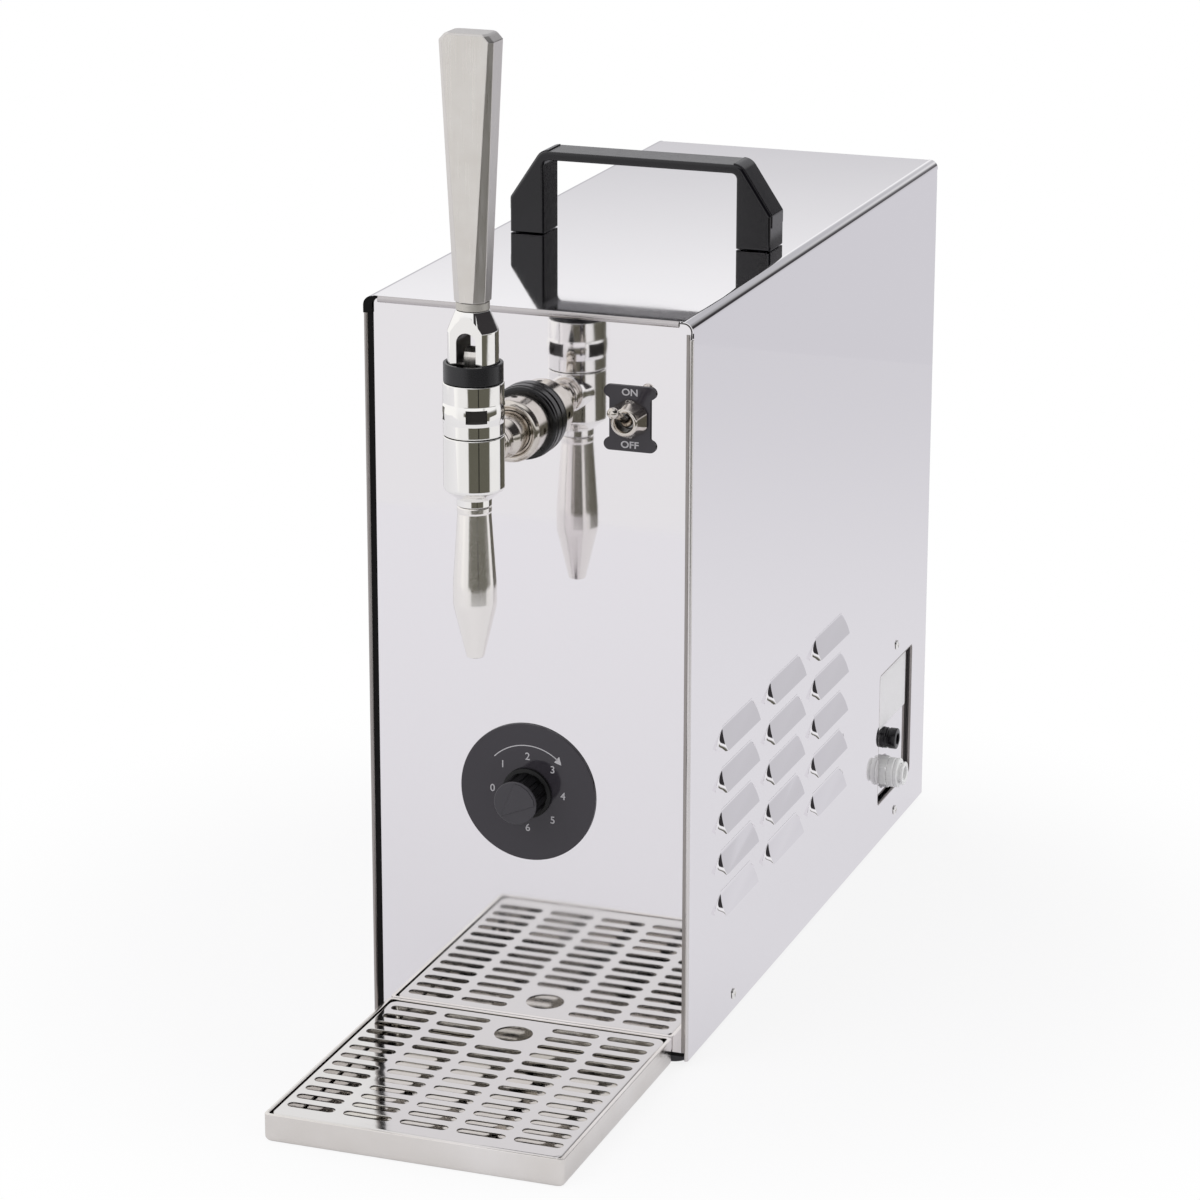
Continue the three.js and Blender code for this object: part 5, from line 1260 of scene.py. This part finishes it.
def foot(inwards, corner):
    """The bend from the floor to the wall, this far inside the pan's outer surface."""
    bend, levels = 3 - inwards, []
    for a in [math.radians(15 * i) for i in range(7)]:
        out = 3 - bend * math.sin(a)
        levels.append((PAN_X - out, PAN_Y - out, corner, 3 - bend * math.cos(a)))
    return levels


rim = [(0, 2.5, PAN_TOP), (0.1, 2.4, 14.9), (0.3, 2.3, 15.0), (1.7, 1.6, 15.0), (1.95, 1.5, 14.85),
       (1.95, 1.5, 14.4), (1.8, 1.6, 14.2), (PAN_WALL, 1.7, 14.1)]
rim = [(PAN_X - inwards, PAN_Y - inwards, corner, z) for inwards, corner, z in rim]
levels = foot(0, 2.5) + rim + foot(PAN_WALL, 1.7)[::-1]
pan = loft([[(x, y, z) for x, y in rounded(-w, w, -l, l, corner)] for w, l, corner, z in levels])
pan = piece("drip_pan", put(pan, (0, PAN_MIDDLE, 0)), pan_steel, "drip_tray", "tray", crease=40)


def inside_pan(middle, normal):
    within = abs(middle.x) < PAN_X - 0.98 and abs(middle.y - PAN_MIDDLE) < PAN_Y - 0.98
    return within and 0.5 < middle.z < 14.3


second_finish(pan, pan_inside, inside_pan)

# %% [markdown]
# ## The drip grid
#
# The grid is one polished plate with five columns of slots and a finger hole, bent down
# all round into a skirt that stands in the tray. The flat middle is drawn as a plate with
# sixty-two slots, which gets its soft punched edges from the same rounding as everything
# else. The bent edge and the skirt are one more stack of rounded rectangles round it.

# %% Punch the grid
GRID_X, GRID_Y, GRID_MIDDLE, GRID_TOP, GRID_SHEET = 76.8, 77.8, -78.8, 14.6, 1
GRID_BEND = 1.6  # the bend starts this far from the outside


def grid_outline(inwards):
    w, l = GRID_X - inwards, GRID_Y - inwards
    return rounded(-w, w, GRID_MIDDLE - l, GRID_MIDDLE + l, 5 - inwards, 8)


punched = [grid_outline(GRID_BEND)]
for row in range(13):
    for column in range(-2, 3):
        if column or row > 2:
            punched.append(long_hole(30.1 * column, -10.4 - 11 * row, 3, 12.7 - 3))
punched.append(circle(0, -21.4, 10, 64))
grid_plate = put(plate(punched, GRID_TOP - GRID_SHEET, GRID_TOP))
print("holes in the grid:", len(punched) - 1)

# %% Bend its skirt
bend_z = GRID_TOP - GRID_BEND
outer_bend, inner_bend = (arc(GRID_BEND, bend_z, radius, 90, 180) for radius in (GRID_BEND, 0.6))
skirt_path = [(GRID_BEND + 0.4, GRID_TOP - 0.005), *outer_bend, (0, 2.4), (0.2, 2.2), (0.8, 2.2),
              (GRID_SHEET, 2.4), *inner_bend[::-1], (GRID_BEND + 0.4, GRID_TOP - GRID_SHEET)]
skirt = loft([[(x, y, z) for x, y in grid_outline(inwards)] for inwards, z in skirt_path], "joined")
piece("drip_grid_plate", gather(grid_plate, put(skirt)), grid_steel, "drip_grid", "grid")

# %% [markdown]
# ## Printing
#
# The dial has plain numbers and an arrow, the switch plate says ON and OFF. Words are text
# objects, turned into thin meshes that lie on the plate like a layer of ink. The built-in
# typeface is made a little bolder with the curve's offset.

# %% Print words and shapes
INK = 0.06  # thickness of the print
LETTERS = 1.38  # text size that makes capitals one millimetre tall


def printed(text, x, z, size, y, bold, width=1.0):
    """A word on the front, its middle at x and z, size millimetres tall."""
    words = bpy.data.curves.new("words", "FONT")
    words.body = text
    words.size = size * LETTERS
    words.align_x, words.align_y = "CENTER", "CENTER"
    words.extrude = INK / 2
    words.offset = bold * size
    shape = solid_of(words)
    for vertex in shape.verts:
        vertex.co.x *= width
    return put(shape, (x, y - INK / 2, z), ON_FRONT)


print("the ink is", INK, "mm thick")

# %% [markdown]
# ## The cooler dial
#
# A thin round plate, glossy and nearly black, with the numbers 0 to 6 every 45 degrees,
# from nine o'clock round to six o'clock, and a long arrow over them that shows which way is
# colder.

# %% Make the dial and print it
DIAL_Z, DIAL_FACE = 139.5, 0.2
dial = turned([(0, 1.2), (36.8, 1.2), (36.8, 0.5, 0.2), (36.5, DIAL_FACE, 0.1), (0, DIAL_FACE)], steps=128)
piece("dial_face", put(dial, (0, 0, DIAL_Z), BACKWARDS), dark_gloss, "dial_plate")

number_spots = arc(0, DIAL_Z, 19.3, 180, -90, 6)
marks = [printed(str(number), x, z, 4.0, DIAL_FACE, 0.012) for number, (x, z) in enumerate(number_spots)]
stroke = arc(0, 0, 25.5, 136, 50, 40) + arc(0, 0, 25.0, 50, 136, 40)
tip_x, tip_z = arc(0, 0, 25.3, 44, 44, 1)[0]
head = [(tip_x + 0.3, tip_z - 0.9)] + [arc(0, 0, radius, 51, 51, 1)[0] for radius in (27.4, 23.1)]
for outline in (stroke, head):
    marks.append(put(prism(outline, -INK / 2, INK / 2), (0, DIAL_FACE - INK / 2, DIAL_Z), ON_FRONT))
piece("dial_printing", gather(*marks), ink)

# %% [markdown]
# ## The knob
#
# A black ribbed knob with a flange against the dial. On its paler face stands a raised
# pointer, which points to the lower left at rest. The ribs are drawn in the outline and
# pulled along the axis, so they stay crisp.

# %% Mould the knob
KNOB = (0, -0.1, DIAL_Z)
RIB_SHARE = (0.30, 0.70)  # where a groove begins and ends in each twelfth of the turn
ribbed = []
for angle in [2.5 * i for i in range(144)]:
    in_groove = RIB_SHARE[0] < (angle % 30) / 30 < RIB_SHARE[1]
    ribbed += arc(0, 0, 11.5 - (0.75 if in_groove else 0), angle, angle, 1)[:1]
flange = turned([(0, 0), (13.3, 0, 0.3), (13.3, 2.0, 0.5), (11.2, 2.5, 0.2), (0, 2.5)])
knob = gather(plate([ribbed], 2.3, 17.4, 0.12, 1), flange)
piece("ribbed_knob", put(knob, KNOB, OUT_OF_FRONT), knob_black, "thermostat_knob", "knob", 28)

cap = turned([(0, 16.8), (11.5, 16.8, 0.1), (11.5, 17.6, 0.3), (11.1, 18.0, 0.2), (0, 18.0)])
pointer = prism([(-10.6, 0), (7.4, -7.6), (9.4, -4.8), (10.4, 0), (9.4, 4.8), (7.4, 7.6)], 17.6, 18.5)
face = gather(cap, ease(swung(pointer, 45), 0.2, 30, 2))
piece("knob_cap_and_pointer", put(face, KNOB, OUT_OF_FRONT), knob_face, None, "knob", 28)

# %% [markdown]
# ## The gas switch
#
# A bone-shaped plate of the same glossy dark material says ON above and OFF below. The
# toggle sticks out of a conical nut with six flats at its foot, and its lever ends in a
# small ball. The nut's outlines change from hexagons to circles on the way up.

# %% Make the switch plate
TOGGLE_X, TOGGLE_Z = 54.7, 341.8
WIDE, TALL, WAIST, EAR = 13.8, 16.7, 10.85, 3.2
ear_foot = TALL - 2 * EAR
quarter = [*arc(WIDE - EAR, TALL - EAR, EAR, 90, -75, 10), (WAIST + 0.5, ear_foot), (WAIST, ear_foot - 0.5)]
right_half = quarter + [(x, -z) for x, z in quarter[::-1]]
bone = plate([right_half + [(-x, -z) for x, z in right_half]], 0.4, 1.2, 0.15)
piece("switch_face", put(bone, (TOGGLE_X, 0, TOGGLE_Z), ON_FRONT), dark_gloss, "switch_plate")
words = [printed(word, TOGGLE_X, z, 3.5, 0.4, 0.028, 1.12) for word, z in (("ON", 355.05), ("OFF", 328.3))]
piece("switch_printing", gather(*words), ink)

# %% Form the toggle's nut
hexagonal = ((9.9, 0, 18.6), (10, 0.15, 18.8), (10, 0.9, 18.8), (9.9, 1.2, 18.6), (9.2, 2.9, 17.4),
             (8.5, 4.6, 16.2), (7.8, 6.3, 15.0, 0.2), (7.1, 8.0, 13.9, 0.7))  # radius, height, flats
round_part = ((6.9, 8.4), (6.6, 8.75), (6.2, 8.95), (5.7, 9.0), (5.2, 8.9), (4.9, 8.5), (4.75, 7.5),
              (4.75, 0))
NUT_STEPS = 96
rings = [[(x, y, height) for x, y in flat_ring(radius, NUT_STEPS, 6, *flats)]
         for radius, height, *flats in hexagonal]
rings += [[(x, y, height) for x, y in circle(0, 0, radius, NUT_STEPS)] for radius, height in round_part]
nut = loft(rings, "joined")
piece("toggle_nut_turned", put(nut, (TOGGLE_X, 0.1, TOGGLE_Z), OUT_OF_FRONT), soft_steel, "toggle_nut",
      crease=30)

# %% Turn its lever
rise = math.radians(23)
lever_way = -Y * math.cos(rise) + Z * math.sin(rise)
lever_up = Y * math.sin(rise) + Z * math.cos(rise)
pivot_ball = arc(0, 0, 3.2, -80, 50, 13)
tip_ball = arc(0, 22.6, 2.9, -50, 80, 13)
lever = turned([(0, -3.2), *pivot_ball, (1.8, 4.5, 0.8), (1.9, 16.5, 1.5), *tip_ball, (0, 25.5)], steps=64)
piece("toggle_lever_turned", put(lever, (TOGGLE_X, -3.4, TOGGLE_Z), (X, lever_up, lever_way)), soft_steel,
      "toggle_lever", "toggle", 50)

# %% [markdown]
# ## The window and the connection plate
#
# Behind the window at the rear right, a set-back plate carries the two push-fit sockets.
# The window's cut edge is a grey line all round, with a narrow flange bent inwards at the
# rear, coloured dark for the painted shade inside the case. The plate's face is a sheet of
# its own, 1.4 mm thick, which brings it as close behind the window as on the real one. It
# has a blank pale label.

# %% Line the window, lay the plate's face and its label
FITTING_Y, WHITE_Z, BLACK_Z = 362.0, 42.0, 63.0
PLATE_FACE = 84.9
window_edge = [rounded(*WINDOW, 3.0, 8), rounded(342.7, 409.3, 27.2, 106.3, 2.4, 8)]
face_edge = [rounded(339, 411, 29, 109, 2, 4), circle(FITTING_Y, WHITE_Z, 10.3),
             circle(FITTING_Y, BLACK_Z, 6.5, 32)]
label_edge = [rounded(345.5, 404.5, 70.5, 103.5, 0.8, 4)]
for name, shape, finish in (
        ("window_cut_edge", plate(window_edge, HALF - SHEET, HALF - 0.03, 0), hem_shade),
        # Painted shade: the flange is coloured dark for the shade inside the case.
        ("window_flange", strip(409.2, 409.9, 28.5, 105, 84.95, HALF - SHEET, 0.15, 1), cut_edge),
        ("connection_plate_face", plate(face_edge, 83.52, PLATE_FACE, 0.1, 1), mirror),
        ("blank_label", plate(label_edge, PLATE_FACE + 0.02, PLATE_FACE + 0.14, 0.03, 1), paper)):
    piece(name, put(shape, ways=ON_SIDE), finish)

# %% [markdown]
# ## The fittings
#
# A milky white socket is for the beverage and a small black one for the gas. Both are
# turned round an axis that points out of the right side; the white one has a hexagon, which
# the lathe makes too. The white one's collet moves, so it is a piece of its own.

# %% Turn the two fittings
WHITE, BLACK = (0, FITTING_Y, WHITE_Z), (0, FITTING_Y, BLACK_Z)
hexagon = turned([(6.3, 83.8), (9.6, 83.8, 0.2), (10.0, 84.4, 0.2), (10.0, 88.2, 0.2), (9.5, 88.8, 0.2),
                  (6.3, 88.8), (6.3, 83.8)], steps=120, flats=6, across=17.4)
socket = turned([(3.2, 65.6), (6, 65.6, 0.5), (6, 83.6), (7.6, 88.7), (8.7, 89.0, 0.3), (8.7, 92.2, 0.2),
                 (8.4, 92.5, 0.1), (8.4, 92.9, 0.1), (8.7, 93.2, 0.2), (8.7, 95.2, 0.5), (5.7, 95.5, 0.1),
                 (5.7, 88.2), (3.2, 88.2), (3.2, 65.6)])
socket = put(gather(hexagon, socket), WHITE, ON_SIDE)
piece("beverage_inlet_body", socket, milky, "beverage_inlet", crease=25)
collet = turned([(4.1, 89.7), (5.4, 89.7), (5.4, 96.6), (6.6, 97.0, 0.3), (6.9, 97.3, 0.2), (6.9, 98.3, 0.3),
                 (4.8, 98.6, 0.4), (4.1, 98.2, 0.2), (4.1, 89.7)])
piece("inlet_collet_ring", put(collet, WHITE, ON_SIDE), milky, "inlet_collet", "collet")
gas = turned([(2.2, 69.8), (4.5, 69.8), (4.5, 83.6), (6.2, 83.8, 0.2), (6.2, 87.2, 0.2), (5.7, 87.6, 0.2),
              (5.7, 88.4, 0.2), (6.2, 88.8, 0.2), (6.2, 93.1, 0.5), (3.7, 93.5, 0.3), (3.2, 93.2, 0.2),
              (3.2, 88.5), (2.2, 88.5), (2.2, 69.8)])
piece("gas_inlet_body", put(gas, BLACK, ON_SIDE), moulded, "gas_inlet", crease=25)

# %% [markdown]
# ## The screws
#
# The cover is held by pan-head screws with a cross recess: three on the right, where one
# holds the corner over the window, and two on the left. Each is turned and then cut with
# two small bricks, because a real recess catches the light as no painted one would.

# %% Make the screws
for name, (side, y, z) in SCREWS.items():
    screw = turned([(0, -6), (1.5, -6), (1.5, 0.2), (3.0, 0.2, 0.1), (3.0, 0.6, 0.2), (2.0, 1.0, 0.5),
                    (0, 1.1)], steps=32)
    for wide, tall in ((0.3, 1.6), (1.6, 0.3)):
        screw = cut(screw, brick((-wide, -tall, 0.5), (wide, tall, 3)))
    put(screw, (side * HALF, y, z), (Y, Z, X * side))
    piece(f"screw_{name}", screw, polished, f"side_screw_{name}", crease=25)

# %% [markdown]
# ## The feet
#
# Four rubber pucks carry the unit and stand 3 mm out under the case. They are turned too,
# with the bulge and the rounded foot of a moulded part.

# %% Set the feet
for name, x, y in (("front_left", -76, 13), ("front_right", 76, 13),
                   ("rear_left", -76, 427), ("rear_right", 76, 427)):
    puck = turned([(0, 0), (8.3, 0, 0.5), (9.5, 1.2, 0.5), (9.5, 7.4, 0.5), (9.0, 8), (0, 8)], steps=64)
    piece(f"foot_puck_{name}", put(puck, (x, y, 0)), foot_rubber, f"foot_{name}")

# %% [markdown]
# ## The rear panel and its gland
#
# The rear panel is a flat sheet with clipped upper corners and a grille of two columns of
# slots, through which the fan blows. Below the grille a black hexagonal gland lets the
# supply cord in. The sheet is a plate with holes, the gland comes off the lathe with flats.

# %% Punch the rear panel and turn the gland
REAR_FACE = 438.5
GLAND = (-52, REAR_FACE, 34)
loops = [eased([(-86, 7), (86, 7), (86, 387.7), (82.2, 391.5), (-82.2, 391.5), (-86, 387.7)], [0.4] * 6, 2)]
loops += [long_hole(side * 35, 70 + 14 * row, 2.5, 25.5) for row in range(7) for side in (-1, 1)]
loops.append(circle(GLAND[0], GLAND[2], 6.8, 40))
rear_panel = plate(loops, REAR_FACE - SHEET, REAR_FACE, 0.15, 1)
piece("rear_panel_punched", put(rear_panel, ways=ON_FRONT), mirror, "rear_panel")
gland = turned([(3.5, -5), (6.5, -5), (6.5, 0.3), (9, 0.3, 0.4), (9, 3.6, 0.5), (7.2, 7.6, 0.6),
                (6.6, 8.0, 0.2), (3.9, 8.0, 0.3), (3.5, 7.4), (3.5, -5)], steps=72, flats=6, across=17)
piece("power_gland_turned", put(gland, GLAND, BACKWARDS), moulded, "power_gland", crease=24)

# %% [markdown]
# ## The nodes that stay
#
# The front panel, the chassis and everything inside keep their CAD shape, which is right as
# it is, and only change their finish. The record names a slot for each of them, and each
# slot has its main finish.

# %% Give the remaining CAD nodes their finish
kept = [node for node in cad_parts.values() if not node.hide_render]
for node in kept:
    for i, material in enumerate(node.data.materials):
        node.data.materials[i] = main_finish[material.name.split(".")[0]].material
print("CAD nodes kept:", len(kept))

# %% [markdown]
# ## The dressed model
#
# Every CAD node now either has its finish or is hidden behind the pieces that stand for it.
